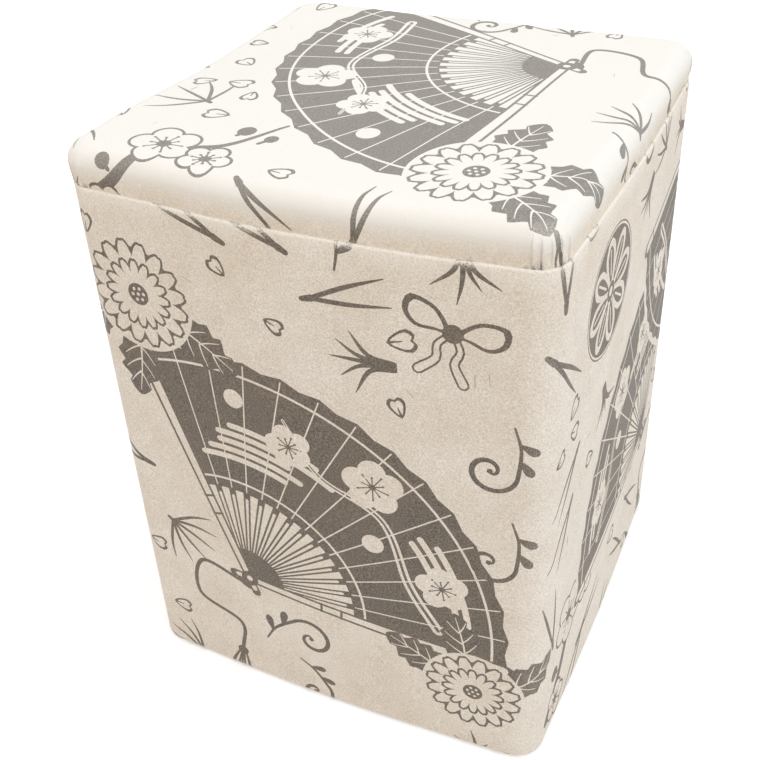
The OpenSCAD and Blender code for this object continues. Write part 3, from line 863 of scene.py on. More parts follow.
def wrapSheet(name, border, guides, spots, layers, placeOn, wearAndLightAt, thickness):
    # cut: the flat sheet is divided along its border, the bends and the outlines of the print
    border = divided(np.vstack([border, border[:1]]))[:-1]
    guides = [divided(guide) for guide in guides]
    low, high = border.min(0), border.max(0)
    kept = [(divided(np.vstack([outline, outline[:1]]))[:-1], ink) for outline, ink in layers
            if (outline.max(0) > low).all() and (outline.min(0) < high).all()]
    points, edges = [], []
    chain(points, edges, border, True)
    for guide in guides:
        chain(points, edges, guide)
    for outline, ink in kept:
        chain(points, edges, outline, True)
    points.extend(map(tuple, spots))
    flat, faces, _ = triangulate(points, edges, border)
    middle = flat[faces].mean(1)
    # print: the last outline that covers a face says whether it is inked
    inked = np.zeros(len(faces), bool)
    order = np.argsort(middle[:, 0])
    sortedX = middle[order, 0]
    for outline, ink in kept:
        lo, hi = outline.min(0), outline.max(0)
        some = order[np.searchsorted(sortedX, lo[0]):np.searchsorted(sortedX, hi[0])]
        some = some[(middle[some, 1] > lo[1]) & (middle[some, 1] < hi[1])]
        if len(some):
            inked[some[windings(middle[some], outline) != 0]] = ink
    # the border as it was divided by the print, walked round in order
    pairs = np.vstack([faces[:, [0, 1]], faces[:, [1, 2]], faces[:, [2, 0]]])
    keys = {(int(a), int(b)) for a, b in pairs}
    follow = {a: b for a, b in keys if (b, a) not in keys}
    start = next(iter(follow))
    loop, at = [start], follow[start]
    while at != start:
        loop.append(at)
        at = follow[at]
    # back of the sheet: the same border, with only the bends and a coarse grid
    backPoints, backEdges = [], []
    chain(backPoints, backEdges, flat[loop], True)
    for guide in guides:
        chain(backPoints, backEdges, guide)
    backPoints.extend(map(tuple, spots))
    backFlat, backFaces, traces = triangulate(backPoints, backEdges, border, True)
    ring = {}
    for k, origins in enumerate(traces):
        for o in origins:
            if o < len(loop):
                ring[o] = k
    # fold: both faces of the paper go to their places
    used, frontNumber = inUse(faces, len(flat))
    backUsed, backNumber = inUse(backFaces, len(backFlat), len(used))
    front, back = flat[used], backFlat[backUsed]
    verts = np.vstack([placeOn(front), placeOn(back, thickness)]) * mm
    strip = []
    for k in range(len(loop)):
        a, b = loop[k], loop[(k + 1) % len(loop)]
        c, d = ring[k], ring[(k + 1) % len(loop)]
        strip += [(frontNumber[b], frontNumber[a], backNumber[c]), (frontNumber[b], backNumber[c], backNumber[d])]
    allFaces = np.vstack([frontNumber[faces], backNumber[backFaces][:, ::-1], np.array(strip)])
    mesh = bpy.data.meshes.new(name)
    mesh.from_pydata(verts.tolist(), [], allFaces.tolist())
    mesh.polygons.foreach_set("use_smooth", np.ones(len(allFaces), bool))
    flags = np.zeros(len(allFaces), np.float32)
    flags[:len(faces)] = inked
    mesh.attributes.new("ink", "FLOAT", "FACE").data.foreach_set("value", flags)
    for label, markAmount in zip(("wearAndHighlight", "paintedShade"), wearAndLightAt(front)):
        values = np.zeros(len(verts), np.float32)
        values[:len(front)] = markAmount
        mesh.attributes.new(label, "FLOAT", "POINT").data.foreach_set("value", values)
    # the surface's own slope, so that the uneven triangles of the print never show
    step = 0.02
    normals = []
    for flatPoints, depth, way in ((front, 0.0, 1), (back, thickness, -1)):
        across = placeOn(flatPoints + (step, 0), depth) - placeOn(flatPoints - (step, 0), depth)
        upward = placeOn(flatPoints + (0, step), depth) - placeOn(flatPoints - (0, step), depth)
        n = np.cross(across, upward) * way
        normals.append(n / np.maximum(np.linalg.norm(n, axis=1), 1e-12)[:, None])
    normals = np.vstack(normals)
    mesh.validate()
    mesh.update()
    mesh.normals_split_custom_set_from_vertices(normals.tolist())
    mesh.materials.append(washiMaterial)
    print(name, len(allFaces), "triangles,", int(inked.sum()), "inked")
    return addObject(name, mesh)


def bodySheet():
    foot, fold = shape["footRadius"], shape["rimFold"]
    wallTop = shape["rim"] - fold
    low = np.array((-2 * quarter, foot * (1 - math.pi / 2) - shape["turnUnder"]))
    high = np.array((2 * quarter + shape["overlap"], wallTop + math.pi * fold + shape["tuck"] - fold))
    columns = []
    for k in range(-2, 3):   # twelve strips round each corner, and two over the lap's slope
        columns += list(k * quarter - centre - arcLength + arcLength * np.arange(13) / 12)
    columns += [2 * quarter - shape["lapSlope"], 2 * quarter - shape["lapSlope"] / 2, 2 * quarter]
    columns = [c for c in columns if low[0] + 0.05 < c < high[0] - 0.05]
    rows = list(foot - foot * math.pi / 2 * np.arange(5) / 4) + list(wallTop + math.pi * fold * np.arange(9) / 8)
    guides = [np.array([(c, low[1]), (c, high[1])]) for c in columns]
    guides += [np.array([(low[0], r), (high[0], r)]) for r in rows]
    border = np.array([low, (high[0], low[1]), high, (low[0], high[1])])
    stepX, stepY = shape["bodyGrid"]
    gridX, gridY = np.meshgrid(np.arange(low[0] + 1, high[0], stepX),
                               np.arange(low[1] + 1.2, high[1], stepY), indexing="ij")
    spots = np.c_[gridX.ravel(), gridY.ravel()]
    return wrapSheet("bodyPaper", border, guides, spots, bodyPrint(), bodyPlace, bodyWearAndPaintedLight, shape["paper"])


def lidSheet():
    reach = lidEdge + shape["lidTurn"]
    corners = ((1, -1), (1, 1), (-1, 1), (-1, -1))
    steps = [at + side for at in pleats for side in (-0.6, 0.6)]   # degrees: the two edges of each pleat's step

    def ring(t):
        out = []
        for k, (cx, cy) in enumerate(corners):
            angles = np.radians(np.concatenate([np.linspace(0, 90, 16), steps]))
            angles = np.sort(angles) + math.radians(-90 + 90 * k)
            out += [(cx * centre + t * math.cos(a), cy * centre + t * math.sin(a)) for a in angles]
        return np.array(out)

    border = ring(reach)
    rings = [ring(lidLevel + shape["shoulder"] * math.pi / 2 * k / 8) for k in range(9)] + [ring(lidEdge)]
    rings = [np.vstack([r, r[:1]]) for r in rings]
    spokes = []
    for cx, cy in corners:
        for at in steps:
            c, s = math.cos(math.radians(at)), math.sin(math.radians(at))
            if cx * cy < 0:
                c, s = s, c
            spokes.append(np.array([(cx * (centre + t * c), cy * (centre + t * s)) for t in (2.5, reach)]))
    along = np.arange(-42, 42.1, shape["lidGrid"])
    gridX, gridY = np.meshgrid(along, along, indexing="ij")
    spots = np.c_[gridX.ravel(), gridY.ravel()]
    spots = spots[np.hypot(*(spots - np.clip(spots, -centre, centre)).T) < reach - 0.4]
    return wrapSheet("lidPaper", border, rings + spokes, spots, lidPrint(), lidPlace, lidWearAndPaintedLight, shape["paper"])


bodyPaper = bodySheet()
declare(bodyPaper, "body", "body_wrap")
lidPaper = lidSheet()
declare(lidPaper, "lid", "lid_wrap")
print("paper wrapped")


# tinplate and the knob

tin = {   # mm
    "gauge": 0.3,
    "bend": 0.35,            # inside radius of a pressed bend
    "plateBend": 0.3,        # radius at each face of a plate's bends
    "flatEnd": 0.9,          # where a plate's flat middle ends, out from the corner centres
    "flatCell": 4,           # the squares that middle is cut into, so that it bends with the sheet over it
    "flatReach": 32,         # how far from the middle it is cut
    "longest": 12,           # the longest straight that is left whole
    "pathPoints": 420,
    "pathRadius": 4.0,       # near the profiles, so that the corners are as round as the paper's
}


def makeTinplate(name, colour, roughness, grain, spangle):   # rolled steel sheet with a thin coat of tin
    material, tree, place = newMaterial(name)
    # rolling lines run round the walls: long in plan, 0.12 mm apart in height
    lines = addNode(tree, "ShaderNodeMapping", None,
                    {"Vector": place, "Scale": (1 / (18 * mm), 1 / (18 * mm), 1 / (0.12 * mm))})
    rolled = addNode(tree, "ShaderNodeTexNoise", None,
                     {"Vector": lines.outputs[0], "Scale": 1.0, "Detail": 3.0, "Roughness": 0.6})
    cells = addNode(tree, "ShaderNodeTexVoronoi", {"feature": "F1"}, {"Vector": place, "Scale": 1 / (5 * mm)})
    tone = addNode(tree, "ShaderNodeSeparateColor", None, {0: cells.outputs["Color"]})
    smear = addNode(tree, "ShaderNodeTexNoise", None, {"Vector": place, "Scale": 1 / (14 * mm), "Detail": 3.0})
    level = addNode(tree, "ShaderNodeMath", {"operation": "MULTIPLY_ADD"},
                    {0: tone.outputs[0], 1: spangle, 2: smear.outputs["Fac"]})
    shade = addNode(tree, "ShaderNodeMapRange", None,
                    {"Value": level.outputs[0], "From Min": 0.3, "From Max": 0.75, "To Min": 0.9, "To Max": 1.04})
    dull, clean = linear(colour), linear("#d3d3d0")
    base = addNode(tree, "ShaderNodeMix", {"data_type": "RGBA"}, {0: shade.outputs[0], 6: dull, 7: clean})
    base = addNode(tree, "ShaderNodeVectorMath", {"operation": "SCALE"},
                   {0: base.outputs[2], "Scale": shade.outputs[0]})
    rough = addNode(tree, "ShaderNodeMapRange", None, {
        "Value": smear.outputs["Fac"], "From Min": 0.3, "From Max": 0.7,
        "To Min": roughness - 0.05, "To Max": roughness + 0.08})
    bump = addNode(tree, "ShaderNodeBump", None,
                   {"Height": rolled.outputs["Fac"], "Distance": grain * mm, "Strength": 0.35})
    shader = addNode(tree, "ShaderNodeBsdfPrincipled", None, {
        "Base Color": base.outputs[0], "Metallic": 1.0, "Roughness": rough.outputs[0], "Normal": bump.outputs[0],
        "Anisotropic": 0.35})
    addNode(tree, "ShaderNodeOutputMaterial", None, {"Surface": shader.outputs[0]})
    return material


def makeTurned(name, colour, roughness, pitch, depth):   # lathe work: fine rings about the piece's own axis
    material, tree, place = newMaterial(name)
    axis = addNode(tree, "ShaderNodeSeparateXYZ", None, {0: place})
    flat = addNode(tree, "ShaderNodeVectorMath", {"operation": "MULTIPLY"}, {0: place, 1: (1, 1, 0)})
    radius = addNode(tree, "ShaderNodeVectorMath", {"operation": "LENGTH"}, {0: flat.outputs[0]})
    run = addNode(tree, "ShaderNodeMath", {"operation": "SUBTRACT"}, {0: radius.outputs["Value"], 1: axis.outputs[2]})
    rings = addNode(tree, "ShaderNodeTexNoise", {"noise_dimensions": "1D"},
                    {"W": run.outputs[0], "Scale": 1 / (pitch * mm), "Detail": 2.0})
    wear = addNode(tree, "ShaderNodeTexNoise", None, {"Vector": place, "Scale": 1 / (4 * mm), "Detail": 3.0})
    rough = addNode(tree, "ShaderNodeMapRange", None, {
        "Value": wear.outputs["Fac"], "From Min": 0.3, "From Max": 0.7,
        "To Min": roughness - 0.06, "To Max": roughness + 0.08})
    shade = addNode(tree, "ShaderNodeMapRange", None, {"Value": rings.outputs["Fac"], "To Min": 0.86, "To Max": 1.06})
    base = addNode(tree, "ShaderNodeVectorMath", {"operation": "SCALE"},
                   {0: linear(colour)[:3], "Scale": shade.outputs[0]})
    bump = addNode(tree, "ShaderNodeBump", None,
                   {"Height": rings.outputs["Fac"], "Distance": depth * mm, "Strength": 0.6})
    shader = addNode(tree, "ShaderNodeBsdfPrincipled", None, {
        "Base Color": base.outputs[0], "Metallic": 1.0, "Roughness": rough.outputs[0], "Normal": bump.outputs[0]})
    addNode(tree, "ShaderNodeOutputMaterial", None, {"Surface": shader.outputs[0]})
    return material


tinplate = makeTinplate("dullTinplate", "#a9a9a5", 0.42, 0.004, 0.25)
brightTinplate = makeTinplate("brightTinplate", "#bbbab7", 0.26, 0.0025, 0.16)
turnedAluminium = makeTurned("turnedAluminium", "#c9cacb", 0.3, 0.14, 0.006)
platedSteel = makeTurned("platedSteel", "#b8b6b0", 0.36, 0.3, 0.003)


def bentStrip(path, gauge, bend):   # the outline of sheet bent along a path of its middle line, edges rounded
    pts = [np.array(p, float) for p in path]
    middle = [pts[0]]
    for a, b, c in zip(pts, pts[1:], pts[2:]):
        u, v = (a - b) / np.hypot(*(a - b)), (c - b) / np.hypot(*(c - b))
        half = math.acos(np.clip(u @ v, -1, 1)) / 2
        radius = bend + gauge / 2
        cut = min(radius / math.tan(half), 0.48 * np.hypot(*(a - b)), 0.48 * np.hypot(*(c - b)))
        for t in np.linspace(0, 1, 7):   # close to an arc
            middle.append((1 - t) ** 2 * (b + u * cut) + 2 * t * (1 - t) * b + t * t * (b + v * cut))
    middle.append(pts[-1])
    return brush(np.array(middle), gauge)


def beginTree(name, inputs):   # a Geometry Nodes tree that takes geometry, the named inputs and a material
    tree = bpy.data.node_groups.new(name, "GeometryNodeTree")
    tree.interface.new_socket("Geometry", in_out="INPUT", socket_type="NodeSocketGeometry")
    for label, kind in (*inputs.items(), ("Material", "Material")):
        tree.interface.new_socket(label, in_out="INPUT", socket_type="NodeSocket" + kind)
    tree.interface.new_socket("Geometry", in_out="OUTPUT", socket_type="NodeSocketGeometry")
    return tree, addNode(tree, "NodeGroupInput").outputs


def endTree(tree, made, given):   # what it made comes out smooth, real and in its material
    smooth = addNode(tree, "GeometryNodeSetShadeSmooth", None, {"Geometry": made.outputs[0]})
    real = addNode(tree, "GeometryNodeRealizeInstances", None, {"Geometry": smooth.outputs[0]})
    finish = addNode(tree, "GeometryNodeSetMaterial", None,
                     {"Geometry": real.outputs[0], "Material": given["Material"]})
    addNode(tree, "NodeGroupOutput", None, {"Geometry": finish.outputs[0]})
    return tree


def sweepTree():   # a profile carried round the caddy's rounded square
    tree, given = beginTree("sweepRoundCaddy", {"Corner Centre": "Float", "Path Radius": "Float", "Points": "Int"})
    half = addNode(tree, "ShaderNodeMath", {"operation": "ADD"}, {0: given["Corner Centre"], 1: given["Path Radius"]})
    side = addNode(tree, "ShaderNodeMath", {"operation": "MULTIPLY"}, {0: half.outputs[0], 1: 2.0})
    square = addNode(tree, "GeometryNodeCurvePrimitiveQuadrilateral", None,
                     {"Width": side.outputs[0], "Height": side.outputs[0]})
    bent = addNode(tree, "GeometryNodeFilletCurve", {"mode": "POLY"},
                   {"Curve": square.outputs[0], "Count": 16, "Radius": given["Path Radius"]})
    even = addNode(tree, "GeometryNodeResampleCurve", None, {"Curve": bent.outputs[0], "Count": given["Points"]})
    upright = addNode(tree, "GeometryNodeSetCurveNormal", {"mode": "Z_UP"}, {"Curve": even.outputs[0]})
    profile = addNode(tree, "GeometryNodeMeshToCurve", None, {"Mesh": given["Geometry"]})
    swept = addNode(tree, "GeometryNodeCurveToMesh", None,
                    {"Curve": upright.outputs[0], "Profile Curve": profile.outputs[0]})
    return endTree(tree, swept, given)


def runTree(name, points, edges, faces, tree, values):   # runs a tree on plain geometry, for a plain mesh
    start = bpy.data.meshes.new(name + "Source")
    start.from_pydata(points, edges, faces)
    carrier = addObject(name + "Source", start)
    modifier = carrier.modifiers.new(tree.name, "NODES")
    modifier.node_group = tree
    for item in tree.interface.items_tree:   # the inputs are set by identifier
        if item.in_out == "INPUT" and item.name in values:
            modifier[item.identifier] = values[item.name]
    made = bpy.data.meshes.new_from_object(carrier.evaluated_get(bpy.context.evaluated_depsgraph_get()))
    carrier.modifiers.remove(modifier)
    bpy.data.objects.remove(carrier)
    made.name = name
    return made


def outward(build):   # turns a closed mesh right side out
    bmesh.ops.recalc_face_normals(build, faces=build.faces)
    if build.calc_volume(signed=True) < 0:
        bmesh.ops.reverse_faces(build, faces=build.faces)


sweep = sweepTree()


def sweptPiece(name, profiles, material, plate=None):
    # profiles are closed outlines (distance out, height) in mm; plate is an open one that ends in a flat middle
    build = bmesh.new()
    whole = [(divided(np.vstack([p, p[:1]]), tin["longest"])[:-1], True) for p in profiles]
    for outline, closed in whole + ([(plate, False)] if plate is not None else []):
        count = len(outline)
        made = runTree("profile", [((out - tin["pathRadius"]) * mm, -up * mm, 0) for out, up in outline],
                       [(k, (k + 1) % count) for k in range(count if closed else count - 1)], [], sweep,
                       {"Corner Centre": centre * mm, "Path Radius": tin["pathRadius"] * mm,
                        "Points": tin["pathPoints"], "Material": material})
        part = bmesh.new()
        part.from_mesh(made)
        bmesh.ops.remove_doubles(part, verts=part.verts, dist=1e-7)
        if not closed:   # the flat middle, above and below
            bmesh.ops.holes_fill(part, edges=[e for e in part.edges if e.is_boundary], sides=0)
            for cut in np.arange(-tin["flatReach"], tin["flatReach"] + 1, tin["flatCell"]) * mm:
                for way in ((1, 0, 0), (0, 1, 0)):
                    flats = [f for f in part.faces if abs(f.normal.z) > 0.99
                             and max(max(abs(v.co.x), abs(v.co.y)) for v in f.verts) < (centre + 1.0) * mm]
                    parts = set(flats) | {e for f in flats for e in f.edges} | {v for f in flats for v in f.verts}
                    bmesh.ops.bisect_plane(part, geom=list(parts), dist=1e-8,
                                           plane_co=(way[0] * cut, way[1] * cut, 0), plane_no=way)
        outward(part)
        spare = bpy.data.meshes.new("spare")
        part.to_mesh(spare)
        part.free()
        build.from_mesh(spare)
        bpy.data.meshes.remove(spare)
        bpy.data.meshes.remove(made)
    mesh = bpy.data.meshes.new(name)
    build.to_mesh(mesh)
    build.free()
    points = np.array([v.co[:] for v in mesh.vertices]) / mm
    mesh.vertices.foreach_set("co", (formed(points) * mm).ravel())
    for face in mesh.polygons:
        face.use_smooth = len(face.vertices) < 9
    mesh.materials.clear()
    mesh.materials.append(material)
    mesh.update()
    return addObject(name, mesh)


def turnedPiece(name, outline, material, segments=64):   # outline: (radius, height) in mm, from the axis round
    build = bmesh.new()
    turns = [spoke(360 * k / segments) for k in range(segments)]
    runs = [[build.verts.new((r * c * mm, r * s * mm, z * mm)) for r, z in outline] for c, s in turns]
    for a, b in zip(runs, runs[1:] + runs[:1]):
        for corners in zip(a, b, b[1:], a[1:]):
            build.faces.new(corners)
    bmesh.ops.remove_doubles(build, verts=build.verts, dist=1e-7)
    outward(build)
    mesh = bpy.data.meshes.new(name)
    build.to_mesh(mesh)
    build.free()
    for face in mesh.polygons:
        face.use_smooth = True
    mesh.materials.append(material)
    return addObject(name, mesh)


def roundedPath(points, radius, steps=5):   # an open outline with its corners eased
    pts = [np.array(p, float) for p in points]
    out = [pts[0]]
    for a, b, c in zip(pts, pts[1:], pts[2:]):
        u, v = (a - b) / np.hypot(*(a - b)), (c - b) / np.hypot(*(c - b))
        cut = min(radius, 0.45 * np.hypot(*(a - b)), 0.45 * np.hypot(*(c - b)))
        for t in np.linspace(0, 1, steps):
            out.append((1 - t) ** 2 * (b + u * cut) + 2 * t * (1 - t) * b + t * t * (b + v * cut))
    out.append(pts[-1])
    return np.array(out)


gauge, halfGauge = tin["gauge"], tin["gauge"] / 2

# each piece is set out as the CAD model is, in mm: distances out from the corner centres, and heights

linerShape = {"out": 2.6, "foot": 0.85, "ledge": 84.0, "neckOut": 4.2, "neckTop": 93.85}

wall, neck = linerShape["out"] - halfGauge, linerShape["neckOut"] - halfGauge
ledge = linerShape["ledge"] - halfGauge
liner = sweptPiece("neckLiner", [bentStrip(
    [(wall, linerShape["foot"] + halfGauge), (wall, ledge), (neck, ledge), (neck, linerShape["neckTop"] - halfGauge)],
    gauge, tin["bend"])], brightTinplate)
declare(liner, "body", "liner")

# a plate's outline runs from its flat middle over the top, round the edge and back underneath

baseShape = {"out": 4.0, "wall": 1.9, "foot": 0.55, "panel": 2.25}

out, wall, foot, panel = baseShape.values()
basePlate = sweptPiece("basePlate", [], tinplate, roundedPath(
    [(tin["flatEnd"], panel + gauge), (wall, panel + gauge), (wall, foot + gauge), (out, foot + gauge),
     (out, foot), (wall - gauge, foot), (wall - gauge, panel), (tin["flatEnd"], panel)], tin["plateBend"]))
declare(basePlate, "body", "base_plate")

basePaperShape = {"flatEnd": 0.4, "out": 1.3, "under": 2.0, "bend": 0.06}

flatEnd, out, under, bend = basePaperShape.values()
basePaper = sweptPiece("basePaper", [], washiMaterial, roundedPath(
    [(flatEnd, under + shape["paper"]), (out, under + shape["paper"]), (out, under), (flatEnd, under)], bend, 3))
declare(basePaper, "body", "base_paper")

lidShellShape = {"flatEnd": 0.5, "out": 4.35, "top": 100.75, "lip": 95.4, "lipIn": 3.75, "lipRound": 0.1}

shoulderIn = shape["shoulder"] - shape["paper"]


def shellArc(radius):   # the shoulder, from the top to the wall
    x, z = lidShellShape["out"] - shoulderIn, lidShellShape["top"] - shoulderIn
    return [(x + radius * math.sin(a), z + radius * math.cos(a)) for a in np.linspace(0, math.pi / 2, 9)]


flatEnd, out, top, lip, lipIn, lipRound = lidShellShape.values()
lidShell = sweptPiece("lidShell", [], tinplate, np.array(
    [(flatEnd, top)] + shellArc(shoulderIn)
    + [(out, lip + lipRound), (out - lipRound, lip), (lipIn, lip), (lipIn, lip + gauge), (out - gauge, lip + gauge)]
    + shellArc(shoulderIn - gauge)[::-1] + [(flatEnd, top - gauge)]))
declare(lidShell, "lid", "lid_shell")

collarShape = {
    "out": 3.65, "foot": 86.45, "top": 99.0, "bead": 0.5,
    "flangeIn": 3.7, "flangeOut": 4.0, "flangeFoot": 95.7,   # the ledge that it is welded to the lid by
}

out, bead = collarShape["out"], collarShape["bead"]
beadX, beadZ, flange = out - bead, collarShape["foot"] + bead, collarShape["flangeFoot"] + halfGauge
curl = [(beadX + (bead - halfGauge) * math.cos(a), beadZ + (bead - halfGauge) * math.sin(a))
        for a in np.radians(np.linspace(-250, 0, 14))]
wall = [(out - halfGauge, z) for z in (beadZ + 2, 94, collarShape["top"] - halfGauge)]
collarStrip = brush(np.vstack([curl, wall]), gauge)
flangeStrip = brush(np.array([(out - gauge, flange), (collarShape["flangeIn"], flange),
                              (collarShape["flangeOut"] - halfGauge, flange)]), gauge)
collar = sweptPiece("lidCollar", [collarStrip, flangeStrip], brightTinplate)
declare(collar, "lid", "lid_collar")

panShape = {"out": 2.1, "floor": 77.0, "rim": 84.05, "edge": 3.6, "top": 85.65}

out, floorUp, rim, edge, lipUp = panShape.values()
innerPan = sweptPiece("innerLidPan", [], brightTinplate, np.vstack([
    roundedPath([(tin["flatEnd"], floorUp + gauge), (out - gauge, floorUp + gauge), (out - gauge, rim + gauge),
                 (edge - gauge, rim + gauge), (edge - gauge, lipUp - halfGauge)], tin["plateBend"]),
    [(edge - halfGauge + halfGauge * math.cos(a), lipUp - halfGauge + halfGauge * math.sin(a))
     for a in np.radians((135, 90, 45))],
    roundedPath([(edge, lipUp - halfGauge), (edge, rim), (out, rim), (out, floorUp), (tin["flatEnd"], floorUp)],
                tin["plateBend"])]))
declare(innerPan, "inner_lid", "inner_lid")

knobShape = {
    "foot": 77.3, "height": 8.0, "width": 16.0, "stem": 8.0, "edge": 1.6,
    "centreMark": 0.15,   # how deep the lathe's centre went in
}

height, stem, rimHalf = knobShape["height"], knobShape["stem"] / 2, knobShape["edge"] / 2
headR = knobShape["width"] / 2 - rimHalf
headFoot = height - 2 * knobShape["edge"]
waist = headFoot / 2
outline = [(0, 0), (stem + waist - rimHalf - 0.3, 0)]
outline += [(stem + waist - waist * math.cos(a), waist + waist * math.sin(a))
            for a in np.radians(np.linspace(-72, 72, 15))]
outline += [(headR - 0.5, headFoot)]
outline += [(headR + rimHalf * math.cos(a), headFoot + rimHalf + rimHalf * math.sin(a))
            for a in np.radians(np.linspace(-90, 78, 12))]
outline += [(r, height - knobShape["edge"] * (r / headR) ** 2) for r in np.linspace(headR * 0.93, 0.9, 9)]
outline += [(0.55, height - 0.02), (0.35, height - 0.12), (0, height - knobShape["centreMark"])]
knob = turnedPiece("turnedKnob", [(r, z + knobShape["foot"]) for r, z in outline], turnedAluminium, 96)
declare(knob, "inner_lid", "inner_lid_knob")

rivetShapes = {   # mm: radius and height, from the axis or the hole round to where they began
    "washer": [(1.6, 76.4), (1.6, 77.0), (4.35, 77.0), (4.5, 76.85), (4.5, 76.5), (4.4, 76.4), (1.6, 76.4)],
    "rivet": [(0, 82.2), (1.5, 82.2), (1.5, 76.4), (2.9, 76.4), (3.0, 76.3), (2.85, 75.95), (2.3, 75.62),
              (1.2, 75.5), (0, 75.5)],
}

washer = turnedPiece("rivetWasher", rivetShapes["washer"], platedSteel)
declare(washer, "inner_lid", "rivet_washer")
rivet = turnedPiece("knobRivet", rivetShapes["rivet"], platedSteel)
declare(rivet, "inner_lid", "knob_rivet")

shellShape = {
    "out": 4.75, "top": 94.75, "bend": 0.45, "hem": 3.0, "hemFoot": 0.25,
    "seamWidth": 6.0, "seamFoot": 1.45, "seamTop": 83.1,   # the folded joint down the inside of its back
}

# the body's shell, from the end of its hem round the foot and up to the rim
wall, hem = shellShape["out"] - halfGauge, shellShape["hemFoot"] + halfGauge
bodyShell = sweptPiece("bodyShell", [bentStrip(
    [(shellShape["out"] - shellShape["hem"] + halfGauge, hem), (wall, hem), (wall, shellShape["top"] - halfGauge)],
    gauge, shellShape["bend"])], tinplate)
build = bmesh.new()
build.from_mesh(bodyShell.data)
seamBack = centre + shellShape["out"] - gauge
for v in bmesh.ops.create_cube(build, size=1.0)["verts"]:
    corner = (v.co.x * shellShape["seamWidth"], seamBack - 2 * gauge if v.co.y < 0 else seamBack + halfGauge,
              shellShape["seamFoot"] if v.co.z < 0 else shellShape["seamTop"])
    v.co = Vector(formed([corner])[0] * mm)
build.to_mesh(bodyShell.data)
build.free()
declare(bodyShell, "body", "body_shell")
print("metalwork made")


# marks on the metal and flecks in the paper, laid out by Geometry Nodes

def spotTree():   # flat round marks along a path
    tree, given = beginTree("spotsAlongPath", {"Spacing": "Float", "Width": "Float", "Height": "Float"})
    line = addNode(tree, "GeometryNodeMeshToCurve", None, {"Mesh": given["Geometry"]})
    upright = addNode(tree, "GeometryNodeSetCurveNormal", {"mode": "Z_UP"}, {"Curve": line.outputs[0]})
    spots = addNode(tree, "GeometryNodeCurveToPoints", {"mode": "LENGTH"},
                    {"Curve": upright.outputs[0], "Length": given["Spacing"]})
    ball = addNode(tree, "GeometryNodeMeshUVSphere", None, {"Segments": 12, "Rings": 6, "Radius": 0.5})
    face = addNode(tree, "FunctionNodeAlignRotationToVector", {"axis": "Z"}, {"Vector": spots.outputs["Normal"]})
    size = addNode(tree, "ShaderNodeCombineXYZ", None, {0: given["Width"], 1: given["Width"], 2: given["Height"]})
    placed = addNode(tree, "GeometryNodeInstanceOnPoints", None, {
        "Points": spots.outputs[0], "Instance": ball.outputs[0], "Rotation": face.outputs[0], "Scale": size.outputs[0]})
    return endTree(tree, placed, given)


weld = {"spacing": 11.0, "width": 2.2, "height": 0.16, "up": 97.4}   # mm, where the collar is spot welded to the lid

corners = []
for k in range(4):   # just inside the collar's wall
    for a in np.radians(np.linspace(0, 90, 10)):
        out = collarShape["out"] - gauge
        x, y = centre + out * math.sin(a), -centre - out * math.cos(a)
        for _ in range(k):
            x, y = -y, x
        corners.append((x, y, weld["up"]))
weldLine = []
for a, b in zip(corners, corners[1:] + corners[:1]):
    steps = max(1, int(math.dist(a, b) / 2))
    weldLine += [tuple(np.array(a) + (np.array(b) - a) * t / steps) for t in range(steps)]
count = len(weldLine)
welds = runTree("weldMarks", (formed(weldLine) * mm).tolist(), [(k, (k + 1) % count) for k in range(count)], [],
                spotTree(), {"Spacing": weld["spacing"] * mm, "Width": weld["width"] * mm,
                             "Height": weld["height"] * mm, "Material": tinplate})
declare(addObject("weldMarks", welds), "lid")


def fleckTree():   # short curved fibres of bark lying on the flat walls of a sheet
    tree, given = beginTree("fibresOnPaper", {"Per Area": "Float", "Length": "Float", "Width": "Float", "Seed": "Int"})
    spots = addNode(tree, "GeometryNodeDistributePointsOnFaces", None,
                    {"Mesh": given["Geometry"], "Density": given["Per Area"], "Seed": given["Seed"]})
    bend = addNode(tree, "GeometryNodeCurvePrimitiveBezierSegment", None, {
        "Resolution": 6, "Start": (-0.5, 0.0, -0.012), "Start Handle": (-0.2, 0.16, 0.02),
        "End Handle": (0.2, -0.12, 0.02), "End": (0.5, 0.05, -0.012)})
    hair = addNode(tree, "GeometryNodeCurvePrimitiveCircle", None, {"Resolution": 4})
    hairSize = addNode(tree, "ShaderNodeMath", {"operation": "DIVIDE"}, {0: given["Width"], 1: given["Length"]})
    thin = addNode(tree, "GeometryNodeTransform", None, {"Geometry": hair.outputs[0], "Scale": (0.5, 0.5, 0.5)})
    tube = addNode(tree, "GeometryNodeCurveToMesh", None, {
        "Curve": bend.outputs[0], "Profile Curve": thin.outputs[0], "Scale": hairSize.outputs[0], "Fill Caps": True})
    spin = addNode(tree, "FunctionNodeRandomValue", {"data_type": "FLOAT"}, {2: 0.0, 3: 6.283, "Seed": given["Seed"]})
    turn = addNode(tree, "FunctionNodeAxisAngleToRotation", None, {"Axis": (0, 0, 1), "Angle": spin.outputs[1]})
    both = addNode(tree, "FunctionNodeRotateRotation", {"rotation_space": "LOCAL"},
                   {"Rotation": spots.outputs["Rotation"], "Rotate By": turn.outputs[0]})
    vary = addNode(tree, "FunctionNodeRandomValue", {"data_type": "FLOAT"}, {2: 0.35, 3: 1.0, "Seed": given["Seed"]})
    size = addNode(tree, "ShaderNodeMath", {"operation": "MULTIPLY"}, {0: vary.outputs[1], 1: given["Length"]})
    placed = addNode(tree, "GeometryNodeInstanceOnPoints", None, {
        "Points": spots.outputs[0], "Instance": tube.outputs[0], "Rotation": both.outputs[0], "Scale": size.outputs[0]})
    return endTree(tree, placed, given)


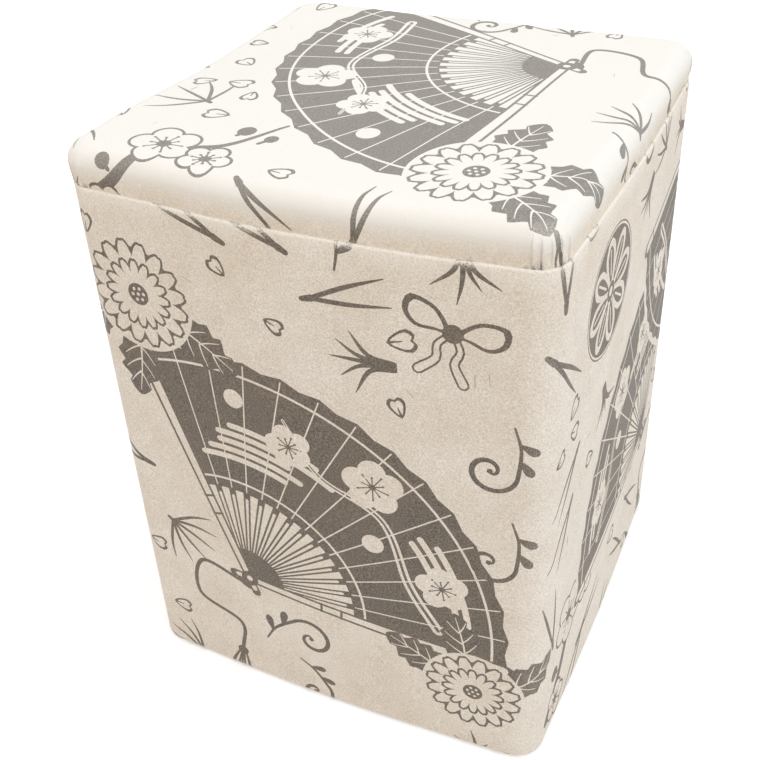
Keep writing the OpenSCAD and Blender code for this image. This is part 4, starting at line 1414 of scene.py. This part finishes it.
def makeFibre(name, colour):   # a strand of bark left in the pulp
    material, tree, place = newMaterial(name)
    tone = addNode(tree, "ShaderNodeTexNoise", None, {"Vector": place, "Scale": 1 / (1.5 * mm), "Detail": 1.0})
    base = addNode(tree, "ShaderNodeMix", {"data_type": "RGBA"},
                   {0: tone.outputs["Fac"], 6: linear(colour), 7: linear("#b9a88f")})
    shader = addNode(tree, "ShaderNodeBsdfPrincipled", None, {"Base Color": base.outputs[2], "Roughness": 0.7})
    addNode(tree, "ShaderNodeOutputMaterial", None, {"Surface": shader.outputs[0]})
    return material


fibres = {
    "perSquareMetre": 3600, "length": 2.6, "width": 0.07, "seed": 5,   # mm
    "halfWall": 31, "low": 3, "high": 92, "halfLid": 32,                # the flat of each wall and of the lid
}
barkFibre = makeFibre("barkFibre", "#857257")


def flatPatches(placeOn, patches):   # the flat parts of a sheet, as loose quads for the fibres to land on
    points, faces = [], []
    for low, high in patches:
        xs, ys = np.linspace(low[0], high[0], 12), np.linspace(low[1], high[1], 12)
        flat = np.array([(x, y) for x in xs for y in ys])
        first = len(points)
        points += (placeOn(flat) * mm).tolist()
        faces += [(first + i * 12 + j, first + (i + 1) * 12 + j, first + (i + 1) * 12 + j + 1, first + i * 12 + j + 1)
                  for i in range(11) for j in range(11)]
    return points, faces


fleckNodes = fleckTree()
half, halfLid = fibres["halfWall"], fibres["halfLid"]
walls = [((k * quarter - half, fibres["low"]), (k * quarter + half, fibres["high"])) for k in (-1, 0, 1)]
lidFlat = [((-halfLid, -halfLid), (halfLid, halfLid))]
# the fibres show on the left, the front, the right and the lid
for name, body, placeOn, patches in (("bodyFibres", "body", bodyPlace, walls), ("lidFibres", "lid", lidPlace, lidFlat)):
    points, faces = flatPatches(placeOn, patches)
    flecks = runTree(name, points, [], faces, fleckNodes, {
        "Per Area": fibres["perSquareMetre"], "Length": fibres["length"] * mm, "Width": fibres["width"] * mm,
        "Seed": fibres["seed"], "Material": barkFibre})
    declare(addObject(name, flecks), body)
print("details laid out")


# image points: x, y in the photograph, 760 by 760

imagePoints = {
    "leftmost": (67, None),
    "rightmost": (692, None),
    "highest": (None, 3),
    "lowest": (None, 757),
    "rimAtFrontLeft": (76, 187),
    "rimFrontMiddle": (299, 235),
    "rimAtFrontRight": (555, 268),
    "rimRightMiddle": (610, 206),
    "frontLeftFoot": (172, 630),
    "frontRightFoot": (531, 757),
    "rightEdgeLow": (643, None),      # the outline of the right side
    "darkFibre": (475, 382),
}
rightEdgeDown = 480   # how far down rightEdgeLow was read
frameW, frameH = 760, 760
frameL = max(frameW, frameH)


def rayThrough(x, y):   # the direction that a point of the photograph looks along
    shiftX, shiftY = photoCamera["shift"]
    aim = Vector((x - frameW / 2 + shiftX * frameL, frameH / 2 - y + shiftY * frameL,
                  -frameL * photoCamera["lens"] / photoCamera["sensorWidth"]))
    return (camera.matrix_world.to_3x3() @ aim).normalized()


def onSurface(x, y, surface):   # where that ray meets a surface, or the surface's nearest place to the ray
    start, way = camera.matrix_world.translation, rayThrough(x, y)
    hit = surface.ray_cast(start, way)
    if hit[0] is not None:
        return hit[0], hit[1]
    near = [surface.find_nearest(start + way * d) for d in np.arange(0.05, 0.6, 0.002)]
    best = min(near, key=lambda n: n[3])
    return best[0], best[1]


def inPhoto(points):   # where points in metres show in the photograph
    away = np.array(points, float).reshape(-1, 3) - np.array(camera.matrix_world.translation)
    p = away @ np.array(camera.matrix_world.to_3x3())
    k = frameL * photoCamera["lens"] / photoCamera["sensorWidth"]
    shiftX, shiftY = photoCamera["shift"]
    return np.c_[frameW / 2 - shiftX * frameL + k * p[:, 0] / -p[:, 2],
                 frameH / 2 + shiftY * frameL - k * p[:, 1] / -p[:, 2]]


def vertsOf(*objects):
    return np.array([v.co[:] for o in objects for v in o.data.vertices])


# one dark strand that the photograph shows on the front
bodyTree = BVHTree.FromObject(bodyPaper, bpy.context.evaluated_depsgraph_get())
spot, normal = onSurface(*imagePoints["darkFibre"], bodyTree)
strand = {"length": 2.6, "width": 0.1, "lean": 78, "bow": 0.18}   # mm, degrees
across = Vector((0, 0, 1)).cross(normal).normalized()
along = across * math.cos(math.radians(strand["lean"])) + Vector((0, 0, 1)) * math.sin(math.radians(strand["lean"]))
side = normal.cross(along).normalized()
build = bmesh.new()
rings = []
for t in np.linspace(-0.5, 0.5, 9):
    middle = spot + along * t * strand["length"] * mm + side * strand["bow"] * mm * math.sin(t * 5)
    r = strand["width"] / 2 * mm * (1 - 0.8 * abs(2 * t) ** 3)
    rings.append([build.verts.new(middle + side * r * math.cos(a) + normal * r * (math.sin(a) * 0.8 + 0.1))
                  for a in np.linspace(0, 2 * math.pi, 7)[:-1]])
for a, b in zip(rings, rings[1:]):
    for k in range(len(a)):
        build.faces.new((a[k], a[(k + 1) % len(a)], b[(k + 1) % len(a)], b[k]))
build.faces.new(rings[0][::-1])
build.faces.new(rings[-1])
outward(build)
mesh = bpy.data.meshes.new("darkFibre")
build.to_mesh(mesh)
build.free()
mesh.materials.append(makeFibre("darkBarkFibre", "#4b3f33"))
darkFibre = addObject("darkFibre", mesh)
declare(darkFibre, "body")


def onBody(s, h):   # where a place on the body's sheet shows
    return inPhoto(bodyPlace(np.array([(s, h)])) * mm)[0]


rimEdge, footEdge = shape["rim"] - 0.1, shape["footRadius"] * 0.2   # the heights that show as the two edges, mm
corner = centre + arcLength / 2
allSeen = inPhoto(vertsOf(bodyPaper, lidPaper))
bodySeen = inPhoto(vertsOf(bodyPaper))
shown = {
    "leftmost": (allSeen[:, 0].min(), None),
    "rightmost": (allSeen[:, 0].max(), None),
    "highest": (None, allSeen[:, 1].min()),
    "lowest": (None, allSeen[:, 1].max()),
    "rimAtFrontLeft": onBody(-corner + 1.2, rimEdge),
    "rimFrontMiddle": onBody(2.7, rimEdge),
    "rimAtFrontRight": onBody(corner, rimEdge),
    "rimRightMiddle": onBody(quarter - 17.6, rimEdge),
    "frontLeftFoot": onBody(-corner, footEdge),
    "frontRightFoot": onBody(corner, footEdge),
    "rightEdgeLow": (bodySeen[np.abs(bodySeen[:, 1] - rightEdgeDown) < 3, 0].max(), None),
    "darkFibre": inPhoto(vertsOf(darkFibre)).mean(0),
}
for name, point in imagePoints.items():
    [None if want is None else round(float(got - want), 1) for want, got in zip(point, shown[name])]


# the end

print("sizes written")
